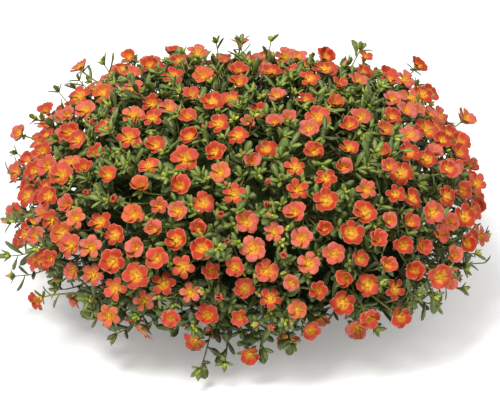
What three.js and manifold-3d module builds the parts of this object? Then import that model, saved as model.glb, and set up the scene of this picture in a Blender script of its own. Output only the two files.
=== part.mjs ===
// A portulaca in full bloom: a wide mound of fleshy leaves and coral blooms, cut at its base.
// It rests on its cut crown and on the knees of its lowest stems.
// Millimetres, +Z up, +X along the mound's longest side. The origin is the middle of the cut.
//
// The mound is a rounded box, and its surface runs through the middles of the blooms. The leafy
// stems fill its inside with a smaller, dense core, and short sprigs of leaves stand out of that
// core between the blooms' stalks. Each spray of blooms grows from a knob of its own, which sits
// in a socket in the core.

import * as THREE from 'three';
import { ConvexGeometry } from 'three/addons/geometries/ConvexGeometry.js';
import { mergeVertices } from 'three/addons/utils/BufferGeometryUtils.js';
import Module from 'manifold-3d';

const wasm = await Module();
wasm.setup();

const vector = (x, y, z) => new THREE.Vector3(x, y, z);

// ---- Driving dimensions ---------------------------------------------------------------------

// The mound's half sizes from its middle to the blooms, and its core's. A power of 2 would make
// an ellipse. The profile's is lower below the middle, where the mound tapers in to its crown.
const MIDDLE = vector(0, 0, 75);
const MOUND = { length: 226, depth: 206, above: 138, below: 75 };
const CORE = { length: 187, depth: 167, above: 101, below: 60 };
const PLAN_POWER = 2.6;
const PROFILE_POWER = { above: 2.6, below: 1.6 };

// Blooms
const BLOOM_COUNT = 384;
const BLOOM_RADIUS = 11;
const BLOOM_RADIUS_SPREAD = 2.2;
const BLOOM_LOWEST_LEVEL = -0.3;
const BLOOM_LOWEST = 27;
// Blooms are closest where the mound faces up by BEST_RISE, and thin out from there
const BLOOM_SPACING = 27.5;
const BEST_RISE = 0.6;
const THINNING = 0.8;
const BLOOM_JITTER = 14;
const LIFT_SPREAD = 15;
const LIFT_MIDDLE = 0.6;
const TALL_SHARE = 0.06;
const TALL_LIFT = 13;
const SETTLING_STEPS = 60;
const SETTLING_PUSH = 0.3;
const BLOOM_TILT = 0.5;
// Blooms lean this much to the light, which comes from the front and above
const LIGHTWARD = vector(0, -0.3, 0.45);
const STALKWARD = 0.35;
const PETALS = 5;
const NOTCH = 0.68;
const NOTCH_SPREAD = 0.16;
const CUP_DEPTH = 3;
const CUP_SPREAD = 2;
const BLOOM_BACK = 3.8;
const PETAL_SWAY = 2.4;
const NOTCH_DROP = 1;
const STALK_RADIUS = 1.15;

// Blooms that reach out past the rest, each with its middle given
const REACHING_BLOOMS = [
  [-235, 80, 134], [-207, 101, 149], [-236, 44, 108], [-238, 9, 82], [-231, -41, 75],
  [-208, -136, 65], [-174, 140, 178], [-124, 150, 185], [-78, 155, 188], [-9, 162, 194],
  [119, 150, 185], [173, 142, 179], [184, 115, 160], [221, 93, 144], [1, -192, 37],
];

// Sprays of blooms, each on a knob
const SPRAY_COUNT = 40;
const SPRAY_LOWEST_LEVEL = -0.35;
const GATHERING_STEPS = 12;
const KNOB = { radius: 4.6, level: 2.6, sunk: 14, height: 8 };
const SOCKET = { radius: 11.4, level: 8, sunk: 15, height: 9, sides: 4 };

// The leafy stems' core, in wedges round the crown
const WEDGE_GAP = 0.4;
const LOW_WEDGES = 12;
const HIGH_WEDGES = 6;
const TOP_WEDGE = { edge: 56, skin: 72 };
const HIGH_WEDGE = { edge: 22, skin: 38 };
const LOW_WEDGE = { edge: -38, skin: [7, -12, -60] };
const CROWN = { head: 20, gap: 0.35, sides: 12, profile: [[0, 0], [15, 0], [13.2, 5], [13.8, 14],
  [18.8, 25.5], [19.9, 33], [17, 42.3], [9, 49.8], [0, 52]] };
const FORK = vector(0, 0, 32);

// The lowest stems, which leave the core, touch the surface at their knees and rise again
// Their path is given as shares of the core's width, and heights
const LOW_STEM = { radius: 2.6, path: [[0.3, 30], [0.5, 1.3], [0.55, 1.3], [0.72, 56]] };

// Sprigs: a twig with a whorl of leaves and a bud
const SPRIG_TRIES = 98;
const SPRIG_SPINS = 24;
const SPRIG_LOWEST_LEVEL = -0.8;
const SPRIG_ROOT = 18;
const SPRIG_DEPTH = 13;
const SPRIG_DEPTH_SPREAD = 12;
const SPRIG_TILT = 0.5;
const LEAVES = 5;
const LEAF = { length: 20, spread: 5, widest: 0.62, halfWidth: 3.9, notch: 2.9, arch: 0.9 };
const SPRIG_RISE = 48;
const SPRIG_RISE_SPREAD = 24;
const SPRIG_PHASE = 1.3;
const SPRIG_SHIFT = 0.02;
const SPRIG_SINK = 1.0;
const SPRIG_LOWEST = 1.5;
const SPRIG_REACH = 60;
const FEEL_STEP = 3.2;
const WHORL_BACK = 4.4;
const TWIG_RADIUS = 1.15;
const BUD = { every: 3, rings: [[1.6, -0.6], [2.7, 3.4]], length: 9, sides: 3 };
const CLEARANCE = 3.6;
const WALL_CLEARANCE = 3;

const STALK_SIDES = 3;
const DEGREE = Math.PI / 180;
const GOLDEN_ANGLE = Math.PI * (3 - Math.sqrt(5));

// What is drawn for each bloom and each sprig, as the number of its question
const ASK = { isTall: 1, lift: 2, jitter: 3, tilt: 6, radius: 12, notch: 13, cup: 14, petal: 20,
  depth: 31, lean: 32, spin: 36, leafLength: 40, leafRise: 50 };

const petalCoral = { color: 0xd95b3c, roughness: 0.55, metalness: 0 };
const leafGreen = { color: 0x4c5c2b, roughness: 0.5, metalness: 0 };
const woodyBrown = { color: 0x6f5a3c, roughness: 0.8, metalness: 0 };

// ---- Solids ---------------------------------------------------------------------------------

/** A point some way along a direction from a start. */
const from = (start, direction, along) => start.clone().addScaledVector(direction, along);

/** A closed solid from points and the triangles between them, which face out. */
function solid(points, triangles) {
  return new wasm.Manifold(new wasm.Mesh({
    numProp: 3,
    vertProperties: Float32Array.from(points.flatMap((point) => [point.x, point.y, point.z])),
    triVerts: Uint32Array.from(triangles.flat()),
  }));
}

/** A closed solid from a three.js geometry. */
function solidFrom(geometry) {
  geometry.deleteAttribute('normal');
  geometry.deleteAttribute('uv');
  const merged = mergeVertices(geometry, 1e-3);
  return new wasm.Manifold(new wasm.Mesh({
    numProp: 3,
    vertProperties: Float32Array.from(merged.getAttribute('position').array),
    triVerts: Uint32Array.from(merged.getIndex().array),
  }));
}

/** A mesh with its own name and material from a closed solid. */
function meshFrom(name, body, material) {
  const { vertProperties, triVerts } = body.getMesh();
  const geometry = new THREE.BufferGeometry();
  geometry.setAttribute('position', new THREE.BufferAttribute(vertProperties, 3));
  geometry.setIndex(new THREE.BufferAttribute(triVerts, 1));
  geometry.computeVertexNormals();
  const mesh = new THREE.Mesh(geometry, new THREE.MeshStandardMaterial(material));
  mesh.name = name;
  return mesh;
}

/** `count` points in a ring round a middle, across an axis, the first of them towards `side`. */
function ringRound(middle, axis, side, radius, count) {
  const across = side.clone().addScaledVector(axis, -side.dot(axis)).normalize();
  const third = axis.clone().cross(across);
  return Array.from({ length: count }, (_, k) => {
    const turn = (2 * Math.PI * k) / count;
    return from(from(middle, across, radius * Math.cos(turn)), third, radius * Math.sin(turn));
  });
}

/**
 * Triangles from ring to ring of a lofted skin that faces out. Each ring is a list of point
 * numbers that turn round its axis, which runs from the first ring to the last, and no ring has
 * fewer points than the one before it.
 */
function loft(rings) {
  return rings.slice(1).flatMap((upper, i) => {
    const lower = rings[i];
    const share = (side) => Math.round((side * upper.length) / lower.length);
    return lower.flatMap((low, side) => {
      const fan = [];
      for (let k = share(side); k < share(side + 1); k += 1) {
        fan.push([low, upper[(k + 1) % upper.length], upper[k]]);
      }
      return [...fan, [low, lower[(side + 1) % lower.length], upper[share(side + 1) % upper.length]]];
    });
  });
}

/** Triangles that close a ring of point numbers from a point on the side its axis points to. */
const fanTo = (point, ring) => ring.map((a, k) => [point, a, ring[(k + 1) % ring.length]]);

/** The points of a rim, each at its turn, radius and height round a middle. */
function rimPoints({ middle, axis, side }, rim) {
  const third = axis.clone().cross(side);
  return rim.map(({ turn, radius, height }) => from(from(from(middle, axis, height),
    side, radius * Math.cos(turn)), third, radius * Math.sin(turn)));
}

/** Adds points to a list and gives their numbers. */
function add(list, points) {
  const first = list.length;
  list.push(...points);
  return points.map((_, k) => first + k);
}

// ---- The rule that places what repeats ------------------------------------------------------

/** A repeatable draw from 0 to 1 for item `i` and question `k`. */
function draw(i, k) {
  const wave = Math.sin(i * 12.9898 + k * 78.233) * 43758.5453;
  return wave - Math.floor(wave);
}

/** How far a rounded box reaches from its middle in a direction. */
function reach(box, direction) {
  const plan = Math.abs(direction.x / box.length) ** PLAN_POWER
    + Math.abs(direction.y / box.depth) ** PLAN_POWER;
  const half = direction.z > 0 ? 'above' : 'below';
  const power = PROFILE_POWER[half];
  const rise = Math.abs(direction.z / box[half]) ** power;
  return (plan ** (power / PLAN_POWER) + rise) ** (-1 / power);
}

/** The way that the mound's surface faces in a direction from its middle. */
function outward(direction) {
  const half = direction.z > 0 ? 'above' : 'below';
  const power = PROFILE_POWER[half];
  const height = MOUND[half];
  const [x, y, z] = [direction.x / MOUND.length, direction.y / MOUND.depth, direction.z / height];
  const plan = Math.abs(x) ** PLAN_POWER + Math.abs(y) ** PLAN_POWER;
  const share = plan ** (power / PLAN_POWER - 1);
  return vector(
    (Math.sign(x) * share * Math.abs(x) ** (PLAN_POWER - 1)) / MOUND.length,
    (Math.sign(y) * share * Math.abs(y) ** (PLAN_POWER - 1)) / MOUND.depth,
    (Math.sign(z) * Math.abs(z) ** (power - 1)) / height,
  ).normalize();
}

/** The direction from the mound's middle to a point. */
const towards = (point) => point.clone().sub(MIDDLE).normalize();

/** The point of a rounded box in a direction, lifted off its surface. */
const onBox = (box, direction, lift) => from(MIDDLE, direction, reach(box, direction) + lift);

/** The direction on a rounded box at a turn and a level, from 1 at its top to -1 underneath. */
function directionAt(box, turn, level) {
  const round = Math.sqrt(1 - level * level);
  const height = level > 0 ? box.above : box.below;
  return vector(box.length * round * Math.cos(turn), box.depth * round * Math.sin(turn),
    height * level).normalize();
}

/** Direction `i` of `count` on a spiral that spreads evenly from the mound's top to a level. */
const spiral = (i, count, lowest) => (
  directionAt(MOUND, i * GOLDEN_ANGLE, 1 - ((1 - lowest) * (i + 0.5)) / count));

/** The room that a bloom takes from middle to middle, by how far up the mound faces there. */
const roomAt = (point) => (
  BLOOM_SPACING * (1 + THINNING * (outward(towards(point)).z - BEST_RISE) ** 2));

/** Moves blooms apart, all at once, until neighbours have their room. */
function settle(items, place) {
  for (let step = 0; step < SETTLING_STEPS; step += 1) {
    const pushes = items.map(() => vector(0, 0, 0));
    const rooms = items.map((item) => roomAt(item.middle));
    for (let a = 0; a < items.length; a += 1) {
      for (let b = a + 1; b < items.length; b += 1) {
        const apart = items[a].middle.clone().sub(items[b].middle);
        const distance = apart.length();
        const spacing = (rooms[a] + rooms[b]) / 2;
        if (distance < spacing) {
          apart.multiplyScalar((SETTLING_PUSH * (spacing - distance)) / distance);
          pushes[a].add(apart);
          pushes[b].sub(apart);
        }
      }
    }
    items.forEach((item, i) => place(item, item.middle.clone().add(pushes[i])));
  }
}

/** Three random parts from -0.5 to 0.5 for an item, from question `k` on. */
const shake = (i, k) => vector(draw(i, k) - 0.5, draw(i, k + 1) - 0.5, draw(i, k + 2) - 0.5);

/** Every bloom's middle. Neighbours push each other apart, and the reaching ones stay put. */
function placeBlooms() {
  const blooms = REACHING_BLOOMS.map(([x, y, z]) => ({ middle: vector(x, y, z), held: true }));
  const count = BLOOM_COUNT - blooms.length;
  for (let i = 0; i < count; i += 1) {
    const tall = draw(i, ASK.isTall) < TALL_SHARE ? TALL_LIFT : 0;
    const lift = LIFT_SPREAD * (draw(i, ASK.lift) - LIFT_MIDDLE) + tall;
    const start = onBox(MOUND, spiral(i, count, BLOOM_LOWEST_LEVEL), lift);
    start.addScaledVector(shake(i, ASK.jitter), BLOOM_JITTER);
    blooms.push({ middle: onBox(MOUND, towards(start), lift), lift });
  }
  settle(blooms, (bloom, wanted) => {
    if (bloom.held) {
      return;
    }
    bloom.middle = onBox(MOUND, towards(wanted), bloom.lift);
    bloom.middle.z = Math.max(bloom.middle.z, BLOOM_LOWEST);
  });
  return blooms;
}

/** Gathers the blooms into sprays, each round the knob that is nearest to them. */
function gatherSprays(blooms) {
  const sprays = Array.from({ length: SPRAY_COUNT }, (_, i) => (
    { direction: spiral(i, SPRAY_COUNT, SPRAY_LOWEST_LEVEL) }));
  for (let step = 0; step <= GATHERING_STEPS; step += 1) {
    sprays.forEach((spray) => {
      spray.foot = onBox(CORE, spray.direction, 0);
      spray.head = onBox(MOUND, spray.direction, 0);
      spray.blooms = [];
    });
    blooms.forEach((bloom) => {
      const distances = sprays.map((spray) => spray.head.distanceTo(bloom.middle));
      sprays[distances.indexOf(Math.min(...distances))].blooms.push(bloom);
    });
    if (step < GATHERING_STEPS) {
      sprays.forEach((spray) => {
        const sum = spray.blooms.reduce((total, bloom) => total.add(bloom.middle), vector(0, 0, 0));
        spray.direction = towards(sum.divideScalar(spray.blooms.length));
      });
    }
  }
  return sprays;
}

/** A bloom's rim: a notch and a tip for each petal, some petals higher than others. */
function petalRim(i, radius) {
  const notch = radius * (NOTCH + NOTCH_SPREAD * draw(i, ASK.notch));
  return Array.from({ length: PETALS }, (_, petal) => {
    const turn = (2 * Math.PI * petal) / PETALS;
    const height = PETAL_SWAY * (draw(i, ASK.petal + petal) - 0.5);
    return [
      { turn: turn - Math.PI / PETALS, radius: notch, height: -NOTCH_DROP },
      { turn, radius, height },
    ];
  }).flat();
}

/**
 * Shapes a spray: its knob's ring has a point for each bloom, and the bloom that grows between
 * two of them is the one that lies that way. A bloom faces out, and leans to the light and along
 * its stalk. Its first petal lies the way of the knob's top, so the stalk isn't twisted.
 */
function shapeSpray(spray, blooms) {
  const { foot } = spray;
  const axis = outward(towards(foot));
  const side = vector(-axis.y, axis.x, 0).normalize();
  const third = axis.clone().cross(side);
  const count = spray.blooms.length;
  const turnOf = (bloom) => {
    const way = bloom.middle.clone().sub(foot);
    return Math.atan2(way.dot(third), way.dot(side));
  };
  spray.blooms.sort((a, b) => turnOf(a) - turnOf(b));
  const drift = spray.blooms.map((bloom, k) => turnOf(bloom) - (2 * Math.PI * k) / count);
  const start = Math.atan2(drift.reduce((sum, turn) => sum + Math.sin(turn), 0),
    drift.reduce((sum, turn) => sum + Math.cos(turn), 0));
  const rim = spray.blooms.map((_, k) => (
    { turn: start + (2 * Math.PI * (k - 0.5)) / count, radius: KNOB.radius, height: KNOB.level }));
  spray.ring = rimPoints({ middle: foot, axis, side }, rim);
  spray.top = from(foot, axis, KNOB.height);
  spray.bottom = from(foot, axis, -KNOB.sunk);
  spray.flowers = spray.blooms.map((bloom, k) => {
    const i = blooms.indexOf(bloom);
    const root = [spray.top, spray.ring[k], spray.ring[(k + 1) % count]];
    const origin = root[0].clone().add(root[1]).add(root[2]).divideScalar(3);
    const stalkway = bloom.middle.clone().sub(origin).normalize();
    const facing = outward(towards(bloom.middle)).add(LIGHTWARD)
      .addScaledVector(shake(i, ASK.tilt), BLOOM_TILT).addScaledVector(stalkway, STALKWARD).normalize();
    const topway = spray.top.clone().sub(origin);
    const across = topway.addScaledVector(facing, -topway.dot(facing)).normalize();
    const frame = { middle: bloom.middle, axis: facing, side: across };
    const cup = CUP_DEPTH + CUP_SPREAD * draw(i, ASK.cup);
    const radius = BLOOM_RADIUS + BLOOM_RADIUS_SPREAD * draw(i, ASK.radius);
    return {
      origin, root,
      base: ringRound(from(bloom.middle, facing, -cup - BLOOM_BACK), facing, across, STALK_RADIUS,
        STALK_SIDES),
      rim: rimPoints(frame, petalRim(i, radius)),
      heart: from(bloom.middle, facing, -cup),
    };
  });
}

/** A spray as one closed solid: its knob, and on each side of it a stalk that opens in a bloom. */
function spraySolid({ ring, top, bottom, flowers }) {
  const points = [];
  const ringIds = add(points, ring);
  const [topId, bottomId] = add(points, [top, bottom]);
  const triangles = fanTo(bottomId, ringIds).map(([a, b, c]) => [a, c, b]);
  flowers.forEach((flower, k) => {
    const root = [topId, ringIds[k], ringIds[(k + 1) % ringIds.length]];
    const base = add(points, flower.base);
    const rim = add(points, flower.rim);
    const [heart] = add(points, [flower.heart]);
    triangles.push(...loft([root, base, rim]), ...fanTo(heart, rim));
  });
  return solid(points, triangles);
}

/** Points a few millimetres apart along a line, without its start. */
function along(start, end, step) {
  const count = Math.max(1, Math.round(start.distanceTo(end) / step));
  return Array.from({ length: count }, (_, k) => start.clone().lerp(end, (k + 1) / count));
}

/** Points all over a stalk and what opens on it, to keep other things clear of them. */
const feel = (origin, base, rim) => (
  [base, ...along(origin, base, FEEL_STEP), ...rim.flatMap((point) => along(base, point, FEEL_STEP))]);

const middleOf = (ring) => (
  ring.reduce((sum, point) => sum.add(point), vector(0, 0, 0)).divideScalar(ring.length));

// ---- Leafy stems ----------------------------------------------------------------------------

/** A point of the core at a turn and a latitude from its middle, both in degrees. */
const coreAt = (turn, latitude) => (
  onBox(CORE, directionAt(CORE, turn * DEGREE, Math.sin(latitude * DEGREE)), 0));

/**
 * A wedge of the core. Its corners are where walls to its neighbours meet the core's surface,
 * `skin` holds more points of that surface, and a wall is named by the two corners it joins.
 * Walls run to the fork, and the wedge stops short of them and of the crown.
 */
function wedge({ name, corners, skin, walls }) {
  const rays = corners.map((corner) => corner.clone().sub(FORK).normalize());
  const middleRay = middleOf(rays).normalize();
  const nearest = Math.min(...rays.map((ray) => ray.dot(middleRay)));
  const inner = rays.map((ray) => from(FORK, ray, (CROWN.head + CROWN.gap) / nearest));
  const planes = walls.map(([a, b]) => {
    const normal = rays[a].clone().cross(rays[b]).normalize();
    return normal.dot(middleRay) > 0 ? normal.negate() : normal;
  });
  /** How far a point lies inside the walls, less than 0 when it is past one of them. */
  const inside = (point) => (
    Math.min(...planes.map((normal) => -normal.dot(point.clone().sub(FORK)))));
  const points = [...corners, ...skin, ...inner].map((point) => point.clone());
  for (const normal of [...planes, ...planes]) {
    for (const point of points) {
      const past = normal.dot(point.clone().sub(FORK)) + WEDGE_GAP / 2;
      if (past > 0) {
        point.addScaledVector(normal, -past);
      }
    }
  }
  return { name, inside, body: solidFrom(new ConvexGeometry(points)) };
}

const twoDigits = (number) => String(number).padStart(2, '0');

/** The wedges of the core: one on top, a ring round it, and a ring of low ones outside that. */
function wedges() {
  const high = 360 / HIGH_WEDGES;
  const low = 360 / LOW_WEDGES;
  const ring = (turn, step, count, latitude) => (
    Array.from({ length: count }, (_, k) => coreAt(turn + k * step, latitude)));
  const topCorners = ring(0, high, HIGH_WEDGES, TOP_WEDGE.edge);
  const list = [wedge({
    name: 'leafy_stems_top',
    corners: topCorners,
    skin: [coreAt(0, 90), ...ring(high / 2, high, HIGH_WEDGES, TOP_WEDGE.skin)],
    walls: topCorners.map((_, k) => [k, (k + 1) % HIGH_WEDGES]),
  })];
  for (let k = 0; k < HIGH_WEDGES; k += 1) {
    const turn = k * high;
    list.push(wedge({
      name: `leafy_stems_high_${twoDigits(k + 1)}`,
      corners: [coreAt(turn, TOP_WEDGE.edge), coreAt(turn + high, TOP_WEDGE.edge),
        coreAt(turn + high, HIGH_WEDGE.edge), coreAt(turn + low, HIGH_WEDGE.edge),
        coreAt(turn, HIGH_WEDGE.edge)],
      skin: ring(turn, low, 3, HIGH_WEDGE.skin),
      walls: [[0, 1], [1, 2], [2, 3], [3, 4], [4, 0]],
    }));
  }
  for (let k = 0; k < LOW_WEDGES; k += 1) {
    const turn = k * low;
    list.push(wedge({
      name: `leafy_stems_low_${twoDigits(k + 1)}`,
      corners: [coreAt(turn, HIGH_WEDGE.edge), coreAt(turn + low, HIGH_WEDGE.edge),
        coreAt(turn + low, LOW_WEDGE.edge), coreAt(turn, LOW_WEDGE.edge)],
      skin: LOW_WEDGE.skin.flatMap((latitude) => ring(turn, low, 2, latitude)),
      walls: [[0, 1], [1, 2], [3, 0]],
    }));
    if (k % 2 === 0) {
      list[list.length - 1].stemTurn = turn + low / 2;
    }
  }
  return list;
}

/** A low stem: it leaves the core underneath, rests on its knee and rises into the core again. */
function lowStem(turn) {
  const out = vector(Math.cos(turn * DEGREE), Math.sin(turn * DEGREE), 0);
  const width = reach(CORE, out);
  const places = LOW_STEM.path.map(([share, height]) => (
    vector(out.x * share * width, out.y * share * width, height)));
  const points = [];
  const rings = places.map((place, k) => {
    const isKnee = k === 1 || k === 2;
    const way = isKnee ? out : places[k < 2 ? 1 : 3].clone().sub(places[k < 2 ? 0 : 2]).normalize();
    return add(points, ringRound(place, way, vector(0, 0, 1), LOW_STEM.radius, STALK_SIDES));
  });
  const last = rings[rings.length - 1];
  return solid(points, [...loft(rings), [0, 2, 1], [last[0], last[1], last[2]]]);
}

/** A sprig's rim: for each leaf a notch, an edge, the tip and the other edge. */
function leafRim(i) {
  const rise = SPRIG_RISE * DEGREE;
  return Array.from({ length: LEAVES }, (_, leaf) => {
    const turn = (2 * Math.PI * leaf) / LEAVES;
    const length = LEAF.length + LEAF.spread * (draw(i, ASK.leafLength + leaf) - 0.5);
    const lean = rise + SPRIG_RISE_SPREAD * DEGREE * (draw(i, ASK.leafRise + leaf) - 0.5);
    const widest = LEAF.widest * length;
    const half = Math.atan2(LEAF.halfWidth, widest * Math.cos(lean));
    const edge = (sign) => ({ turn: turn + sign * half, radius: widest * Math.cos(lean) / Math.cos(half),
      height: widest * Math.sin(lean) });
    return [
      { turn: turn - Math.PI / LEAVES, radius: LEAF.notch, height: 0 },
      edge(-1),
      { turn, radius: length * Math.cos(lean), height: length * Math.sin(lean) * LEAF.arch },
      edge(1),
    ];
  }).flat();
}

/** Shapes sprig `i` for one of its spins: a twig out of the core, its leaves and perhaps a bud. */
function shapeSprig(i, spin) {
  const turn = i * GOLDEN_ANGLE + SPRIG_PHASE + SPRIG_SHIFT * spin;
  const level = 1 - ((1 - SPRIG_LOWEST_LEVEL) * (i + 0.5)) / SPRIG_TRIES;
  const direction = directionAt(MOUND, turn, level);
  const depth = SPRIG_DEPTH + SPRIG_DEPTH_SPREAD * (draw(i, ASK.depth) - 0.5) + SPRIG_SINK * spin;
  const middle = onBox(MOUND, direction, -depth);
  const root = onBox(CORE, direction, -SPRIG_ROOT);
  const axis = outward(direction).addScaledVector(shake(i, ASK.lean), SPRIG_TILT).normalize();
  const side = shake(i, ASK.spin + spin).cross(axis).normalize();
  const base = from(middle, axis, -WHORL_BACK);
  const twig = base.clone().sub(root).normalize();
  const hasBud = i % BUD.every === 0;
  return {
    root, middle, axis, side, twig,
    rootRing: ringRound(root, twig, side, TWIG_RADIUS, STALK_SIDES),
    base: ringRound(base, axis, side, TWIG_RADIUS, STALK_SIDES),
    rim: rimPoints({ middle, axis, side }, leafRim(i)),
    bud: hasBud ? BUD.rings.map(([radius, height]) => (
      ringRound(from(middle, axis, height), axis, side, radius, BUD.sides))) : [],
    tip: from(middle, axis, hasBud ? BUD.length : 0),
    feel: [...feel(root, base, rimPoints({ middle, axis, side }, leafRim(i))),
      ...along(base, from(middle, axis, BUD.length), FEEL_STEP)],
  };
}

/** A sprig as one closed solid. */
function sprigSolid({ rootRing, base, rim, bud, tip }) {
  const points = [];
  const rings = [rootRing, base, rim].map((ring) => add(points, ring));
  const budRings = bud.map((ring) => add(points, ring));
  const [tipId] = add(points, [tip]);
  const hollow = bud.length ? loft([budRings[0], rings[2]]).map(([a, b, c]) => [a, c, b]) : [];
  const last = bud.length ? budRings[budRings.length - 1] : rings[2];
  return solid(points, [[0, 2, 1], ...loft(rings), ...hollow, ...loft(budRings),
    ...fanTo(tipId, last)]);
}

/** Grows the sprigs that find room between the blooms, each in the wedge that it roots in. */
function growSprigs(wedgeList, sprays) {
  const taken = sprays.flatMap((spray) => [spray.top, ...spray.ring, ...spray.flowers.flatMap(
    ({ origin, base, rim }) => feel(origin, middleOf(base), rim))]);
  const sprigs = [];
  for (let i = 0; i < SPRIG_TRIES; i += 1) {
    for (let spin = 0; spin < SPRIG_SPINS; spin += 1) {
      const sprig = shapeSprig(i, spin);
      const close = taken.filter((point) => point.distanceTo(sprig.middle) < SPRIG_REACH);
      const buried = [sprig.root, from(sprig.root, sprig.twig, SPRIG_ROOT)];
      const home = wedgeList.find(({ inside }) => (
        buried.every((point) => inside(point) > WALL_CLEARANCE)));
      const isClear = home && sprig.feel.every((point) => point.z > SPRIG_LOWEST
        && close.every((other) => point.distanceTo(other) > CLEARANCE));
      if (isClear) {
        sprigs.push({ ...sprig, home });
        taken.push(...sprig.feel);
        break;
      }
    }
  }
  return sprigs;
}

/** The crown: a short woody stump whose head the leafy stems grow round. */
function crownSolid() {
  const profile = CROWN.profile.map(([radius, height]) => new THREE.Vector2(radius, height));
  const lathe = new THREE.LatheGeometry(profile, CROWN.sides);
  lathe.rotateX(Math.PI / 2);
  return solidFrom(lathe);
}

// ---- The plant ------------------------------------------------------------------------------

const blooms = placeBlooms();
const sprays = gatherSprays(blooms);
sprays.forEach((spray) => shapeSpray(spray, blooms));
const sprayBodies = sprays.map(spraySolid);

const wedgeList = wedges();
const sprigs = growSprigs(wedgeList, sprays);

/** The room that a spray's knob needs in the core. */
function socketSolid({ foot }) {
  const axis = outward(towards(foot));
  const side = vector(-axis.y, axis.x, 0).normalize();
  const points = [from(foot, axis, -SOCKET.sunk), from(foot, axis, SOCKET.height),
    ...ringRound(from(foot, axis, SOCKET.level), axis, side, SOCKET.radius, SOCKET.sides)];
  const ring = Array.from({ length: SOCKET.sides }, (_, k) => k + 2);
  return solid(points, [...fanTo(1, ring), ...fanTo(0, ring).map(([a, b, c]) => [a, c, b])]);
}

const sockets = wasm.Manifold.union(sprays.map(socketSolid));
const plant = new THREE.Group();
plant.add(meshFrom('crown', crownSolid(), woodyBrown));
for (const { name, body, stemTurn, inside } of wedgeList) {
  const grown = sprigs.filter((sprig) => sprig.home.name === name).map(sprigSolid);
  const stems = stemTurn === undefined ? [] : [lowStem(stemTurn)];
  const whole = wasm.Manifold.union([body.subtract(sockets), ...stems, ...grown]);
  plant.add(meshFrom(name, whole, leafGreen));
}
sprayBodies.forEach((body, i) => {
  plant.add(meshFrom(`bloom_spray_${twoDigits(i + 1)}`, body, petalCoral));
});

export default plant;
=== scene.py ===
"""The looks of a portulaca in full bloom: petals, stamens, leaves, buds, stems and stump.

Metres, +Z up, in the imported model's frame. The blooms stand where the growth rule below puts them,
which is the rule that the solids were grown by, so each bloom dresses its own solid.
"""
import math

import bmesh
import bpy
import numpy as np
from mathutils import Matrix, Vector


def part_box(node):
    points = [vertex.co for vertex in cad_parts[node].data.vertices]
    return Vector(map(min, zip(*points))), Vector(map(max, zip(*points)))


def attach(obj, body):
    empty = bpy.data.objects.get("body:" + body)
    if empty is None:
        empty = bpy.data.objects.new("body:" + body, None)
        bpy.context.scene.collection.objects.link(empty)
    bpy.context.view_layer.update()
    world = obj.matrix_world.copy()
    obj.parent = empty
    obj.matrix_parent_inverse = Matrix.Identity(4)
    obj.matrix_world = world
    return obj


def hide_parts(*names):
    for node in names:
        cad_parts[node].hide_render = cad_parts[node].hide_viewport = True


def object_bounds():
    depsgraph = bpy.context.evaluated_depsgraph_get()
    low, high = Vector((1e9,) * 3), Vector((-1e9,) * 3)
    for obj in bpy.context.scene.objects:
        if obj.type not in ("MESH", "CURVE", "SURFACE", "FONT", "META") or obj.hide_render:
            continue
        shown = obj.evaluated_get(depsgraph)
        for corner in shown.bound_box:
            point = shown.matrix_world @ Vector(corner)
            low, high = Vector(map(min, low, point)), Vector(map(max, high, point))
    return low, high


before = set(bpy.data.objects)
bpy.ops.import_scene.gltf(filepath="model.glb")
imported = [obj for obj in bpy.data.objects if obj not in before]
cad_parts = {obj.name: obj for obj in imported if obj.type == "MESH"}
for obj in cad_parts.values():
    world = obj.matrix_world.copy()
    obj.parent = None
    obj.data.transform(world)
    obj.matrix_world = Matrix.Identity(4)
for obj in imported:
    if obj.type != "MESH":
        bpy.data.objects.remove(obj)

cad_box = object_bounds()
bpy.ops.object.select_all(action="DESELECT")

# ---- Sizes ----
# In metres. Two radii are those of a stem's foot and tip. Any other two numbers in brackets go to
# from_least or about, which say what they do with them.

# The mound's half sizes from its middle to the blooms, and those of the leafy core inside it
MIDDLE = np.array([0.0, 0.0, 0.075])
MOUND = {"length": 0.226, "depth": 0.206, "above": 0.138, "below": 0.075}
CORE = {"length": 0.187, "depth": 0.167, "above": 0.101, "below": 0.060}
PLAN_POWER = 2.6
PROFILE_POWER = {"above": 2.6, "below": 1.6}

# Where the blooms stand
BLOOM_COUNT = 384
BLOOM_RADIUS = (0.011, 0.0022)
BLOOM_LOWEST_LEVEL = -0.3
BLOOM_LOWEST = 0.027
BLOOM_SPACING = 0.0275
BEST_RISE = 0.6
THINNING = 0.8
BLOOM_JITTER = 0.014
LIFT_SPREAD = 0.015
LIFT_MIDDLE = 0.6
TALL_SHARE = 0.06
TALL_LIFT = 0.013
SETTLING_STEPS = 60
SETTLING_PUSH = 0.3
BLOOM_TILT = 0.5
LIGHTWARD = np.array([0.0, -0.3, 0.45])
STALKWARD = 0.35
REACHING_BLOOMS = np.array([
    [-235, 80, 134], [-207, 101, 149], [-236, 44, 108], [-238, 9, 82], [-231, -41, 75],
    [-208, -136, 65], [-174, 140, 178], [-124, 150, 185], [-78, 155, 188], [-9, 162, 194],
    [119, 150, 185], [173, 142, 179], [184, 115, 160], [221, 93, 144], [1, -192, 37],
]) / 1000

# The knobs that the stalks of a spray meet in
SPRAY_COUNT = 40
SPRAY_LOWEST_LEVEL = -0.35
GATHERING_STEPS = 12
KNOB_RADIUS = 0.0046
KNOB_LEVEL = 0.0026
KNOB_HEIGHT = 0.008

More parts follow.
